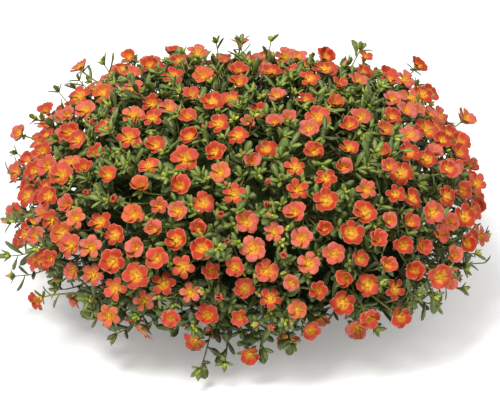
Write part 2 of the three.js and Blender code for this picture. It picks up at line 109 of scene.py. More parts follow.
# The numbers of the questions that the rule draws for, and the wave that the draws are read from.
# Shoots are numbered from FIRST_SHOOT on, so they can share a question with blooms.
DRAW = {"item_step": 12.9898, "question_step": 78.233, "height": 43758.5453}
ASK = {
    "is_tall": 1, "lift": 2, "jitter": 3, "tilt": 6, "radius": 12, "opening": 60, "turn": 61,
    "spread": 62, "is_slim": 63, "tone": 64, "is_faded": 65, "nod": 66, "is_closing": 69, "petal": 70,
    "stamen": 100, "stalk": 120, "bloom_whorl": 130, "stalk_leaf": 150, "hair": 330,
    "shoot_lift": 200, "aside": 201, "sway": 204, "is_leaning": 206, "is_reaching": 208, "is_kept": 209,
    "stem_tone": 1, "first_leaf": 3, "is_bare": 4, "shoot_leaf": 220, "tip_whorl": 300, "has_buds": 180,
    "is_bursting": 181, "bud": 182, "low_stem": 7, "lump": 9,
}

# How each bloom opens, and its size against its radius in the solids. It turns to the light, which
# falls from above and the front.
TURN_TO_LIGHT = np.array([0.0, -0.25, 0.24])
NOD = 0.4
PETAL_OPEN = math.radians(16)
PETAL_CLOSED = math.radians(60)
PETAL_SHUT = math.radians(84)
OPENING_POWER = 0.68
BLOOM_SPREAD = (0.83, 0.2)
HEART_DEPTH = 0.8
CLOSING_SHARE = 0.07
CLOSING_SPREAD = 0.64
CLOSING_HEART = 0.5
FADED_SHARE = 0.05

# Petals. Each kind has a width, an arch along it, a rise of its sides and a ruffle.
PETALS = 5
PETAL_KINDS = {
    "petal_open": (0.86, 1.2, 0.06, 0.014),
    "petal_cupped": (0.95, -0.5, 0.16, 0.012),
    "petal_waved": (0.84, 1.9, 0.08, 0.040),
    "petal_slim": (0.66, 1.4, 0.10, 0.018),
}
SLIM_SHARE = 0.34
SLIM_KIND = 3
# For a petal one unit long: each row's share of its width and of its arch, each column's share of its
# ruffle, and how far each column's end stays back from the tip
PETAL_ROWS = {0.0: (0.22, 0.0), 0.25: (0.58, 0.05), 0.5: (0.93, 0.06), 0.75: (1.02, 0.02), 1.0: (0.78, -0.06)}
PETAL_RUFFLES = {-0.5: 1, -0.25: -0.6, 0.25: 0.8, 0.5: -1}
PETAL_SETBACKS = {-0.5: 0.14, -0.25: 0.015, 0: 0.04, 0.25: 0.015, 0.5: 0.14}
PETAL_FOOT_END = 0.1
PETAL_RUFFLE_START = 0.6
PETAL_TIP_START = 0.97
PETAL_LAST_ROW = 0.8
PETAL_THICKNESS = 0.022
PETAL_SLACK = 0.03
NARROWEST = 1e-4
FIRST_TURN = 0.5
PETAL_TURN = 0.22
PETAL_LEAN = 0.4
PETAL_ROLL = (0.18, 0.3)
PETAL_LENGTH_SPREAD = 0.12
PETAL_WIDTH = (0.96, 0.16)
PETAL_FOOT = 0.0009

# The rest of a bloom
DOME_SIZE = 0.0029
DOME_SUNK = 0.0003
DOME_TONE = 0.8
STAMENS = 16
STAMEN_LENGTH = 0.0039
STAMEN_SHORTENING = 0.25
STAMEN_LEAN = {"inner": 0.15, "outer": 0.8, "own": 0.2}
STAMEN_FOOT = 0.0005
CUP_LENGTH = 0.0034
STALK_RADII = (0.0011, 0.000935)
STALK_SIDES = 4
STALK_STATIONS = 7
STALK_SWAY = 0.5
STALK_ARRIVAL = 1.1
BEND_REACH = 0.35
HAIRS = 7
HAIR_LENGTH = (0.004, 0.003)
HAIR_DROOP = 0.4
HAIR_FOOT = 0.0006

# The space in and over a bloom that leaves keep clear of
PETAL_ROOM = 0.0025
SPACE_OVER_BLOOM = 0.025
SPACE_ROUND_HEART = 0.95

# The blades, each with its count of sides and its stations. A station has a place along the blade, a
# half width, a thickness and a height.
BLADES = {
    "leaf_spoon": (4, [(0.0, 0.04, 0.03, 0.0), (0.3, 0.09, 0.035, 0.04), (0.66, 0.22, 0.042, 0.06),
                       (0.9, 0.18, 0.034, 0.02), (1.0, 0.05, 0.012, -0.02)]),
    "leaf_long": (4, [(0.0, 0.03, 0.03, 0.0), (0.3, 0.12, 0.034, 0.02), (0.62, 0.16, 0.042, -0.01),
                      (0.88, 0.12, 0.03, -0.06), (1.0, 0.02, 0.012, -0.1)]),
    "leaf_cupped": (4, [(0.0, 0.035, 0.03, 0.0), (0.3, 0.12, 0.034, -0.01), (0.64, 0.21, 0.04, 0.02),
                        (0.88, 0.17, 0.032, 0.09), (1.0, 0.04, 0.012, 0.14)]),
    "leaf_small": (4, [(0.0, 0.06, 0.05, 0.0), (0.4, 0.17, 0.06, 0.03), (0.75, 0.18, 0.05, 0.03),
                       (1.0, 0.02, 0.02, -0.02)]),
    "bud": (5, [(0.0, 0.10, 0.10, 0.0), (0.25, 0.25, 0.25, 0.0), (0.6, 0.24, 0.24, 0.0),
                (1.0, 0.03, 0.03, 0.0)]),
    "cup": (6, [(0.0, 0.24, 0.24, 0.0), (0.4, 0.50, 0.50, 0.0), (1.0, 0.74, 0.74, 0.0)]),
    "dome": (6, [(0.0, 1.0, 1.0, 0.0), (0.6, 0.72, 0.72, 0.0), (1.0, 0.2, 0.2, 0.0)]),
    "stamen": (3, [(0.0, 0.06, 0.06, 0.0), (0.66, 0.05, 0.05, 0.0), (0.82, 0.26, 0.22, 0.0),
                   (1.0, 0.08, 0.08, 0.0)]),
    "hair": (3, [(0.0, 0.035, 0.035, 0.0), (1.0, 0.004, 0.004, 0.06)]),
}
BLADE_SLACK = 0.005
LEAF_KINDS = ["leaf_spoon", "leaf_long", "leaf_cupped", "leaf_small"]
LARGE_LEAF_KINDS = 3
SMALL_LEAF_KIND = 3

# The room that leaves and shoots keep to
ROOM_LOW = np.array(cad_box[0]) - 0.007
ROOM_HIGH = np.array(cad_box[1]) + [0.007, 0.007, 0.004]
TIP_ROOM = 0.007
LOWEST_LEAF = 0.0012
LOWEST_TIP = 0.007
LOWEST_ROOT = 0.005

# Leafy shoots, whose depths are from the mound's surface. Fewer are kept down the sides.
SHOOT_COUNT = 1600
FIRST_SHOOT = 1000
SHOOT_LOWEST_LEVEL = -0.7
SHOOT_FIRST_TURN = 0.7
KEPT = {"level": 0.36, "by_rise": 0.72, "least": 0.25}
SHOOT_FOOT = -0.050
SHOOT_TIP = -0.001
SHOOT_TIP_SPREAD = 0.024
SHOOT_TIP_SIDES = 1.25
SHOOT_STATIONS = 6
SHOOT_SWAY = 0.7
SHOOT_RISE = 0.35
SHOOT_CLEARANCE = 0.006
SHOOT_STEM_RADII = (0.00126, 0.00072)
SHOOT_STEM_SIDES = 3
LEANING_SHARE = 0.15
TIP_ASIDE = {"leaning": 0.09, "upright": 0.04}
REACHING_SHARE = 0.09
LEAFY_SIDE_SHARE = 0.4
LEAFY_SIDE = {"left": -0.7, "right": 0.6, "right_below": 0.2}
REACHING_LOWEST = -0.3
REACHING_TIP = (0.004, 0.014)
# The tips of the shoots that reach out past the rest
REACHING_SHOOTS = np.array([
    [246, -10, 66], [240, -30, 45], [182, -112, 46], [212, -70, 62], [41, -181, 46], [13, -185, 42],
    [-23, -191, 30], [-47, -196, 26], [-128, -158, 42], [-190, -110, 40], [-232, -60, 48],
    [-246, 60, 98], [-236, 118, 112], [238, 70, 112],
]) / 1000
# The tips of those that stand up out of the mound's top and shoulders
RISING_SHOOTS = np.array([
    [-186, 84, 172], [-172, 112, 176], [-158, 70, 196], [-146, 104, 198], [-128, 126, 196],
    [-104, 104, 216], [-74, 118, 214], [-66, 84, 221], [-34, 122, 212], [-8, 112, 220],
    [22, 120, 216], [52, 108, 219], [84, 124, 210], [112, 112, 210], [134, 92, 208],
    [152, 112, 190], [170, 76, 190], [186, 100, 170], [204, 64, 158], [-206, 60, 158],
    [-120, 30, 221], [60, 60, 221], [130, 20, 218], [-20, 50, 221],
]) / 1000

# The leaves of shoots and stalks, and the buds
SHOOT_LEAVES = 8
BARE_SHARE = 0.25
LEAF_ON_BARE_SHARE = 0.35
LEAFY_PART = {"start": 0.3, "length": 0.66, "shift": 0.6}
LEAF_TURN = 0.7
LEAF_LEAN = (0.7, 0.6)
LEAF_RISE = 0.22
LEAF_FACING_UP = 0.35
LEAF_LENGTH = (0.013, 0.010)
LEAF_WIDTH = (0.85, 0.3)
LEAF_YOUTH = 0.35
STALK_LEAF_STATIONS = (2, 4, 5)
STALK_LEAF_LEAN = (0.75, 0.5)
STALK_LEAF_RISE = 0.2
STALK_LEAF_FACING_UP = 0.3
STALK_LEAF_LENGTH = (0.0105, 0.006)
STALK_LEAF_YOUTH = 0.3
BLOOM_WHORL = {"count": 5, "spread": 1.3, "length": 0.0105, "youth": 0.45}
TIP_WHORL = {"count": 4, "spread": 0.85, "length": 0.0115, "youth": 0.7}
WHORL_LEAN = 0.5
WHORL_SIZE = (0.75, 0.5)
WHORL_WIDTH = 1.05
WHORL_FACING = 0.3
BUDS = 4
BUD_SHARES = {"any": 0.6, "more": 0.7, "bursting": 0.14}
BUD_TURN = 6
BUD_LEAN = {"first": 0.12, "more": 0.8}
BUD_LENGTH = (0.0050, 0.0022)
BUD_WIDTH = 1.15
BURSTING_BUD = {"length": 0.0100, "width": 0.0074}
BUD_FOOT = {"up": 0.0012, "out": 0.0008}

# The dark middle, the stump's radius at each height, and the lowest stems' share of the way out and
# height at each station
THICKET_DEPTH = 0.016
THICKET_FINENESS = 5
THICKET_LUMPS = 5
THICKET_WAVES = {"first": 14, "step": 9}
THICKET_LUMP_HEIGHT = 0.0022
THICKET_LOWEST = 0.012
STUMP_RINGS = {0.0: 0.0148, 0.004: 0.0140, 0.014: 0.0138, 0.0255: 0.0178, 0.036: 0.0192, 0.046: 0.0130}
STUMP_TOP_RADIUS = 0.002
STUMP_SLACK = 0.0005
STUMP_SIDES = 28
STUMP_SHARP_EDGE = math.radians(40)
BARK_LUMP = {"size": 0.006, "height": 0.0016}
LOW_STEMS = 6
LOW_STEM_TURN = 15
LOW_STEM_PATH = [(0.3, 0.030), (0.4, 0.013), (0.48, 0.0032), (0.525, 0.0014), (0.57, 0.0036),
                 (0.63, 0.022), (0.72, 0.056)]
LOW_STEM_RADIUS = 0.0014
LOW_STEM_SIDES = 6
LOW_STEM_BROWN = 0.9

GOLDEN_ANGLE = math.pi * (3 - math.sqrt(5))
UP = np.array([0.0, 0.0, 1.0])
# Ways near to up that no stem grows along
BESIDE_UP = {"tube": UP + np.array([0.31, 0.17, 0.0]), "whorl": UP + np.array([0.3, 0.2, 0.0])}

# ---- The growth rule ----


def draw(item, question):
    """A repeatable draw from 0 to 1 for each item and question, which is a number or a name in ASK."""
    question = ASK.get(question, question)
    angle = np.asarray(item) * DRAW["item_step"] + question * DRAW["question_step"]
    wave = np.sin(angle) * DRAW["height"]
    return wave - np.floor(wave)


def shake(item, question):
    """Three random parts from -0.5 to 0.5 for each item, from the question of that name on."""
    return np.stack([draw(item, ASK[question] + k) for k in range(3)], axis=-1) - 0.5


def from_least(least, more, item, question):
    """A number for each item, from the least up to so much more."""
    return least + more * draw(item, question)


def about(middle, spread, item, question):
    """A number for each item, spread about a middle."""
    return middle + spread * (draw(item, question) - 0.5)


def choose(count, item, question):
    """One of a few kinds for each item."""
    return np.floor(count * draw(item, question)).astype(int)


def unit(vectors):
    return vectors / np.linalg.norm(vectors, axis=-1, keepdims=True)


def dot(a, b):
    return (a * b).sum(-1, keepdims=True)


def distances(first, second):
    """How far each of the first points is from each of the second."""
    return np.linalg.norm(first[:, None] - second[None], axis=-1)


def keep_above(points, lowest):
    """Raises the points that are below a height to that height."""
    points[:, 2] = np.maximum(points[:, 2], lowest)


def square_to(way, vectors):
    """The part of each vector that is square to a way, one unit long."""
    return unit(vectors - way * dot(vectors, way))


def lean_over(first, second, angle):
    """The way that leans from one way towards another by an angle, for each item."""
    return np.cos(angle)[..., None] * first + np.sin(angle)[..., None] * second


def by_half(sizes, direction):
    """A size or power of the upper half or the lower half, for each direction."""
    return np.where(direction[:, 2] > 0, sizes["above"], sizes["below"])


def reach(box, direction):
    """How far a rounded box reaches from its middle in each direction."""
    x, y, z = np.abs(direction).T
    power = by_half(PROFILE_POWER, direction)
    plan = (x / box["length"]) ** PLAN_POWER + (y / box["depth"]) ** PLAN_POWER
    rise = (z / by_half(box, direction)) ** power
    return (plan ** (power / PLAN_POWER) + rise) ** (-1 / power)


def outward(direction):
    """The way that the mound's surface faces in each direction from its middle."""
    power = by_half(PROFILE_POWER, direction)
    sizes = np.stack([np.full(len(power), MOUND["length"]), np.full(len(power), MOUND["depth"]),
                      by_half(MOUND, direction)], 1)
    powers = np.stack([np.full(len(power), PLAN_POWER), np.full(len(power), PLAN_POWER), power], 1)
    share = direction / sizes
    plan = np.abs(share[:, 0]) ** PLAN_POWER + np.abs(share[:, 1]) ** PLAN_POWER
    slope = np.sign(share) * np.abs(share) ** (powers - 1)
    slope[:, :2] *= (plan ** (power / PLAN_POWER - 1))[:, None]
    return unit(slope / sizes)


def towards(points):
    return unit(points - MIDDLE)


def on_box(box, direction, lift):
    """The point of a rounded box in each direction, lifted off its surface."""
    return MIDDLE + direction * (reach(box, direction) + lift)[:, None]


def spiral(count, lowest, first_turn=0.0):
    """Directions on a spiral that spreads evenly from the mound's top down to a level."""
    k = np.arange(count)
    level = 1 - (1 - lowest) * (k + 0.5) / count
    turn = k * GOLDEN_ANGLE + first_turn
    around = np.sqrt(1 - level**2)
    height = np.where(level > 0, MOUND["above"], MOUND["below"])
    return unit(np.stack([MOUND["length"] * around * np.cos(turn), MOUND["depth"] * around * np.sin(turn),
                          height * level], 1))


def place_blooms():
    """Every bloom's middle: neighbours push each other apart, and the reaching ones stay put."""
    count = BLOOM_COUNT - len(REACHING_BLOOMS)
    k = np.arange(count)
    tall = np.where(draw(k, "is_tall") < TALL_SHARE, TALL_LIFT, 0.0)
    lift = LIFT_SPREAD * (draw(k, "lift") - LIFT_MIDDLE) + tall
    start = on_box(MOUND, spiral(count, BLOOM_LOWEST_LEVEL), lift)
    start += BLOOM_JITTER * shake(k, "jitter")
    free = on_box(MOUND, towards(start), lift)
    held = len(REACHING_BLOOMS)
    middle = np.concatenate([REACHING_BLOOMS, free])
    for _ in range(SETTLING_STEPS):
        room = BLOOM_SPACING * (1 + THINNING * (outward(towards(middle))[:, 2] - BEST_RISE) ** 2)
        spacing = (room[:, None] + room[None]) / 2
        apart = middle[:, None] - middle[None]
        distance = distances(middle, middle)
        np.fill_diagonal(distance, 1.0)
        push = np.where(distance < spacing, SETTLING_PUSH * (spacing - distance) / distance, 0)
        wanted = middle + (apart * push[:, :, None]).sum(1)
        middle[held:] = on_box(MOUND, towards(wanted[held:]), lift)
        keep_above(middle[held:], BLOOM_LOWEST)
    return middle


def gather_sprays(middle):
    """The spray of each bloom, and the place of each spray's knob."""
    direction = spiral(SPRAY_COUNT, SPRAY_LOWEST_LEVEL)
    for step in range(GATHERING_STEPS + 1):
        foot = on_box(CORE, direction, np.zeros(SPRAY_COUNT))
        head = on_box(MOUND, direction, np.zeros(SPRAY_COUNT))
        spray = distances(middle, head).argmin(1)
        if step < GATHERING_STEPS:
            direction = towards(np.stack([middle[spray == k].mean(0) for k in range(SPRAY_COUNT)]))
    return spray, foot


def place_stalks(middle, spray, foot):
    """Where each bloom's stalk leaves its knob, and the top of that knob."""
    origin, tops = np.zeros_like(middle), np.zeros_like(middle)
    axes = outward(towards(foot))
    for number in range(SPRAY_COUNT):
        axis = axes[number]
        side = unit(np.array([-axis[1], axis[0], 0.0]))
        third = np.cross(axis, side)
        blooms = np.flatnonzero(spray == number)
        way = middle[blooms] - foot[number]
        turn = np.arctan2(way @ third, way @ side)
        order = np.argsort(turn, kind="stable")
        blooms, turn = blooms[order], turn[order]
        count = len(blooms)
        k = np.arange(count)
        drift = turn - 2 * math.pi * k / count
        start = math.atan2(np.sin(drift).sum(), np.cos(drift).sum())
        around = start + 2 * math.pi * (k - 0.5) / count
        ring = foot[number] + axis * KNOB_LEVEL + KNOB_RADIUS * lean_over(side, third, around)
        top = foot[number] + axis * KNOB_HEIGHT
        tops[blooms] = top
        origin[blooms] = (ring + np.roll(ring, -1, axis=0) + top) / 3
    return origin, tops


def grow_blooms():
    """Every bloom's frame: its middle, the way it faces, its first petal's way and its stalk's start."""
    middle = place_blooms()
    spray, foot = gather_sprays(middle)
    origin, tops = place_stalks(middle, spray, foot)
    k = np.arange(BLOOM_COUNT)
    facing = unit(outward(towards(middle)) + LIGHTWARD + BLOOM_TILT * shake(k, "tilt")
                  + STALKWARD * unit(middle - origin))
    across = square_to(facing, tops - origin)
    return {"middle": middle, "facing": facing, "across": across, "third": np.cross(facing, across),
            "radius": from_least(*BLOOM_RADIUS, k, "radius"), "spray": spray, "origin": origin,
            "number": k}


# ---- Shapes that are modelled once ----


class Shape:
    """A small shape to copy: its points, triangles, and for each point its place along the shape,
    its place across it, and 1 on its upper side."""

    def __init__(self, piece, is_flat=False):
        mesh = piece.data
        self.points = np.array([vert.co for vert in mesh.vertices])
        self.triangles = triangles_of(mesh)
        along = self.points[:, 0]
        rows = np.round(along, 1)
        widest = np.array([np.abs(self.points[rows == row, 1]).max() for row in rows])
        across = 0.5 + 0.5 * self.points[:, 1] / np.maximum(widest, NARROWEST)
        upper = np.ones(len(along))
        if is_flat:
            upper = np.array([vert.normal.z > 0 for vert in mesh.vertices], float)
        self.place = np.stack([along, across, upper], 1)
        bpy.data.objects.remove(piece)


def triangles_of(mesh):
    mesh.calc_loop_triangles()
    return np.array([triangle.vertices for triangle in mesh.loop_triangles])


def start_editing(name):
    """Names the new primitive, settles its place in its mesh and opens it in edit mode."""
    piece = bpy.context.object
    piece.name = name
    bpy.ops.object.transform_apply(location=True, rotation=True, scale=True)
    bpy.ops.object.mode_set(mode="EDIT")
    return piece


def near(value, wanted, slack):
    return abs(value - wanted) < slack


def pick(piece, test):
    """In edit mode, selects the points whose place passes a test."""
    points = bmesh.from_edit_mesh(piece.data)
    for point in points.verts:
        point.select_set(bool(test(point.co)))
    points.select_flush_mode()
    bmesh.update_edit_mesh(piece.data)


def shift_column(petal, side, start, value):
    """In edit mode, moves the points of one column of a petal, from a place along it to its tip."""
    pick(petal, lambda place: near(place.y, side, PETAL_SLACK) and place.x > start)
    bpy.ops.transform.translate(value=value)


def cut_rings(places, way):
    """In edit mode, cuts a ring of edges round the shape at each place along a way."""
    for place in places:
        bpy.ops.mesh.select_all(action="SELECT")
        bpy.ops.mesh.bisect(plane_co=[place * part for part in way], plane_no=way)


def model_petal(name, width, arch, cup, ruffle):
    """A petal one unit long along +X with its inner side up: narrow at its foot, broad, with a
    shallow notch at its tip. It bends along itself by `arch` and its sides rise by `cup`."""
    bpy.ops.mesh.primitive_grid_add(x_subdivisions=4, y_subdivisions=4, size=1, location=(0.5, 0, 0))
    petal = start_editing(name)
    for side in PETAL_RUFFLES:
        shift_column(petal, side, PETAL_FOOT_END, (0, 0, cup * side * side * 4))
    for side, wave in PETAL_RUFFLES.items():
        shift_column(petal, side, PETAL_RUFFLE_START, (0, 0, ruffle * wave))
    for side, back in PETAL_SETBACKS.items():
        shift_column(petal, side, PETAL_TIP_START, (-back, 0, 0))
    for row, (share, height) in PETAL_ROWS.items():
        slack = 1 - PETAL_LAST_ROW if row == 1 else PETAL_SLACK
        pick(petal, lambda place: near(place.x, row, slack))
        bpy.ops.transform.resize(value=(1, share * width, 1), center_override=(row, 0, 0))
        bpy.ops.transform.translate(value=(0, 0, arch * height))
    bpy.ops.object.mode_set(mode="OBJECT")
    wall = petal.modifiers.new("thickness", "SOLIDIFY")
    wall.thickness = PETAL_THICKNESS
    wall.offset = 0
    bpy.ops.object.modifier_apply(modifier=wall.name)
    return Shape(petal, is_flat=True)


def model_blade(name, sides, stations):
    """A fleshy blade one unit long along +X: a bar with a ring at each of its stations."""
    bpy.ops.mesh.primitive_cylinder_add(vertices=sides, radius=1, depth=1, location=(0.5, 0, 0),
                                        rotation=(0, math.pi / 2, 0))
    blade = start_editing(name)
    cut_rings([station[0] for station in stations[1:-1]], (1, 0, 0))
    for place, half_width, thickness, height in stations:
        pick(blade, lambda point: near(point.x, place, BLADE_SLACK))
        bpy.ops.transform.resize(value=(1, half_width, thickness), center_override=(place, 0, 0))
        bpy.ops.transform.translate(value=(0, 0, height))
    bpy.ops.mesh.select_all(action="SELECT")
    bpy.ops.mesh.normals_make_consistent(inside=False)
    bpy.ops.object.mode_set(mode="OBJECT")
    return Shape(blade)


# ---- Copies ----


def mesh_piece(name, points, triangles, material, slot, **traits):
    """A piece from its points and triangles, with its traits as attributes of the points."""
    mesh = bpy.data.meshes.new(name)
    mesh.vertices.add(len(points))
    mesh.vertices.foreach_set("co", np.ascontiguousarray(points, np.float32).ravel())
    mesh.loops.add(triangles.size)
    mesh.loops.foreach_set("vertex_index", np.ascontiguousarray(triangles, np.int32).ravel())
    mesh.polygons.add(len(triangles))
    mesh.polygons.foreach_set("loop_start", np.arange(0, triangles.size, 3, dtype=np.int32))
    mesh.update(calc_edges=True)
    mesh.shade_smooth()
    for trait, values in traits.items():
        mesh.attributes.new(trait, "FLOAT_VECTOR", "POINT").data.foreach_set(
            "vector", np.ascontiguousarray(values, np.float32).ravel())
    mesh.materials.append(material)
    piece = bpy.data.objects.new(name, mesh)
    bpy.context.collection.objects.link(piece)
    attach(piece, "root")
    return piece


class Copies:
    """Copies of small shapes, gathered until they are joined in one piece."""

    def __init__(self):
        self.points, self.triangles, self.place, self.nature = [], [], [], []
        self.count = 0

    def take(self, points, triangles, place, nature):
        """Takes in copies of one shape: the points of each, then what the points have in common."""
        copies, size = points.shape[:2]
        first = self.count + np.arange(copies) * size
        self.points.append(points.reshape(-1, 3))
        self.triangles.append((triangles[None] + first[:, None, None]).reshape(-1, 3))
        self.place.append(np.tile(place, (copies, 1)))
        self.nature.append(np.repeat(nature, size, axis=0))
        self.count += copies * size

    def add(self, shape, origin, along, upward, length, width, nature, those=slice(None)):
        """Copies a shape once for each of those origins: its +X runs along, its +Z faces upward."""
        origin, along, upward, length, width, nature = (
            values[those] for values in (origin, along, upward, length, width, nature))
        if len(origin) == 0:
            return
        along = unit(along)
        upward = square_to(along, upward)
        across = np.cross(upward, along)
        x, y, z = (shape.points[:, k][None, :, None] for k in range(3))
        length, width = length[:, None, None], width[:, None, None]
        points = (origin[:, None] + along[:, None] * x * length + across[:, None] * y * width
                  + upward[:, None] * z * 0.5 * (length + width))
        self.take(points, shape.triangles, shape.place, nature)

    def add_tubes(self, paths, radii, sides, nature):
        """Tubes round paths: one row of points for each path, and a radius for each point."""
        copies, stations = paths.shape[:2]
        ahead = unit(np.gradient(paths, axis=1))
        level = unit(np.cross(ahead, BESIDE_UP["tube"]))
        other = np.cross(ahead, level)
        turn = 2 * math.pi * np.arange(sides) / sides
        ring = lean_over(level[:, :, None], other[:, :, None], turn)
        points = paths[:, :, None] + ring * np.broadcast_to(radii, (copies, stations))[:, :, None, None]
        k = np.arange(sides)
        low = (np.arange(stations - 1) * sides)[:, None]
        a, b, c, d = low + k, low + (k + 1) % sides, low + sides + (k + 1) % sides, low + sides + k
        walls = np.concatenate([np.stack([a, b, c], -1), np.stack([a, c, d], -1)]).reshape(-1, 3)
        fan = np.stack([np.zeros(sides - 2, int), np.arange(1, sides - 1), np.arange(2, sides)], 1)
        triangles = np.concatenate([walls, fan[:, ::-1], fan + (stations - 1) * sides])
        along = np.repeat(np.linspace(0, 1, stations), sides)
        place = np.stack([along, np.tile(k / sides, stations), np.ones(len(along))], 1)
        self.take(points.reshape(copies, -1, 3), triangles, place, nature)

    def join(self, name, material, slot):
        return mesh_piece(name, np.concatenate(self.points), np.concatenate(self.triangles), material,
                          slot, place=np.concatenate(self.place), nature=np.concatenate(self.nature))


# ---- Materials ----


def srgb(red, green, blue):
    """A colour given from 0 to 255, as Blender's linear colour."""
    def linear(value):
        value /= 255
        return value / 12.92 if value <= 0.04045 else ((value + 0.055) / 1.055) ** 2.4
    return (linear(red), linear(green), linear(blue), 1.0)


class Value:
    """A number that varies over a surface. Python's operators add the shader nodes that work it out."""

    def __init__(self, finish, socket):
        self.finish, self.socket = finish, socket

    def join(self, operation, first, second=0.0):
        return Value(self.finish, self.finish.node("ShaderNodeMath", {"operation": operation}, first, second))

    def __add__(self, other):
        return self.join("ADD", self, other)

    def __sub__(self, other):
        return self.join("SUBTRACT", self, other)

    def __mul__(self, other):
        return self.join("MULTIPLY", self, other)

    def __rsub__(self, other):
        return self.join("SUBTRACT", other, self)

    __radd__ = __add__
    __rmul__ = __mul__

    def __abs__(self):
        return self.join("ABSOLUTE", self)

    def between(self, low, high):
        """From 0 at the low end to 1 at the high end, smoothly."""
        made = self.finish.node("ShaderNodeMapRange", {"interpolation_type": "SMOOTHSTEP"}, self, low, high)
        return Value(self.finish, made)


class Finish:
    """A material under construction."""

    def __init__(self, name, **constants):
        self.material = bpy.data.materials.new(name)
        self.material.use_nodes = True
        self.tree = self.material.node_tree
        self.surface = self.tree.nodes["Principled BSDF"]
        for socket, value in constants.items():
            self.surface.inputs[socket.replace("_", " ")].default_value = value

    def node(self, kind, settings, *inputs):
        """A node: its settings first, then its inputs in order. Gives its first output. The stops of a
        ramp are pairs of a position and a colour."""
        made = self.tree.nodes.new(kind)
        for setting, value in settings.items():
            if setting == "stops":
                ramp = made.color_ramp
                for spare in list(ramp.elements)[1:]:
                    ramp.elements.remove(spare)
                ramp.elements[0].position, ramp.elements[0].color = value[0]
                for position, colour in value[1:]:
                    ramp.elements.new(position).color = colour
            else:
                setattr(made, setting, value)
        sockets = [socket for socket in made.inputs if socket.enabled]
        for socket, given in zip(sockets, inputs):
            self.feed(socket, given)
        return next(socket for socket in made.outputs if socket.enabled)

    def feed(self, socket, given):
        if isinstance(given, Value):
            given = given.socket
        if isinstance(given, bpy.types.NodeSocket):
            self.tree.links.new(given, socket)
        elif given is not None:
            socket.default_value = given

    def parts(self, vector):
        """The three numbers of a vector."""
        made = self.node("ShaderNodeSeparateXYZ", {}, vector).node
        return [Value(self, socket) for socket in made.outputs]

    def trait(self, name):
        """The three numbers of an attribute of the piece."""
        made = self.node("ShaderNodeAttribute", {"attribute_name": name}).node
        return self.parts(made.outputs["Vector"])

    def object_place(self):
        return self.node("ShaderNodeTexCoord", {}).node.outputs["Object"]

    def height(self):
        """How high a point of the piece is."""
        return self.parts(self.object_place())[2]

    def pattern(self, scale, detail=2.0, vector=None):
        """A cloudy pattern on the piece's own place, or on a vector."""
        return Value(self, self.node("ShaderNodeTexNoise", {}, vector or self.object_place(), scale, detail))

    def vector(self, x, y, z):
        return self.node("ShaderNodeCombineXYZ", {}, x, y, z)

    def ramp(self, value, *stops):
        """A colour that changes with a value, by stops of a position, red, green and blue."""
        stops = [(position, srgb(*colour)) for position, *colour in stops]
        return self.node("ShaderNodeValToRGB", {"stops": stops}, value)

    def mix(self, factor, *colours):
        """A mix of two colours, each made by other nodes or given by its red, green and blue."""
        colours = [srgb(*colour) if isinstance(colour, tuple) else colour for colour in colours]
        return self.node("ShaderNodeMix", {"data_type": "RGBA"}, factor, *colours)

    def bump(self, height, distance, strength=1.0):
        made = self.node("ShaderNodeBump", {}, strength, distance, None, height)
        self.tree.links.new(made, self.surface.inputs["Normal"])

    def colour(self, given, brightness=None):
        """Sets the base colour, times a brightness if one is given."""
        if brightness is not None:
            given = self.node("ShaderNodeVectorMath", {"operation": "SCALE"}, given, brightness)
        self.feed(self.surface.inputs["Base Color"], given)

    def roughness(self, given):
        self.feed(self.surface.inputs["Roughness"], given)


def petal_finish():
    """Coral petals with a yellow foot, an orange throat, a pink band and paler rims. The tone of a bloom
    makes it paler or deeper."""
    finish = Finish("coral_petal", Specular_IOR_Level=0.25)
    along, across, inner = finish.trait("place")
    tone, petal, faded = finish.trait("nature")
    off_middle = abs(across - 0.5) * 2
    streak = finish.pattern(1.0, 3.0, finish.vector(along * 2.2, across * 24, tone * 40 + petal * 9))
    blotch = finish.pattern(1.0, 2.0, finish.vector(along * 3, across * 4, tone * 70 + petal * 5))
    reach_out = along + (streak - 0.5) * 0.16 + (petal - 0.5) * 0.06
    colour = finish.ramp(
        reach_out,
        (0.10, 208, 148, 38), (0.33, 213, 142, 40), (0.44, 209, 114, 36),
        (0.56, 194, 78, 26), (0.74, 176, 54, 20), (0.94, 198, 88, 32))
    band = (1 - off_middle.between(0.2, 0.85)) * reach_out.between(0.46, 0.62)
    band = band * (1 - tone.between(0.6, 0.9))
    colour = finish.mix(band * (petal * 0.6 + blotch * 0.7), colour, (187, 60, 68))
    deep = tone.between(0.52, 0.85) * reach_out.between(0.38, 0.6)
    colour = finish.mix(deep * 0.8, colour, (168, 40, 10))
    light = (1 - tone.between(0.15, 0.5)) * reach_out.between(0.42, 0.68)
    colour = finish.mix(light * 0.8, colour, (200, 108, 94))
    colour = finish.mix(faded * 0.4 * reach_out.between(0.4, 0.6), colour, (206, 110, 44))
    rim = (off_middle * reach_out.between(0.3, 0.7)).between(0.68, 1.0) + along.between(0.88, 1.0) * 0.8
    rim_colour = finish.mix(tone.between(0.5, 0.8), (220, 120, 66), (222, 130, 102))
    colour = finish.mix(rim * 0.6, colour, rim_colour)
    outer = finish.ramp(along, (0.1, 142, 140, 58), (0.4, 196, 108, 70), (0.8, 202, 110, 88))
    colour = finish.mix((1 - inner) * 0.65, colour, outer)
    finish.colour(colour, streak * 0.7 + blotch * 0.6 + petal * 0.16 + 0.24)
    finish.roughness(streak * 0.2 + 0.45)
    finish.bump(streak, 0.0006, 0.8)
    return finish.material


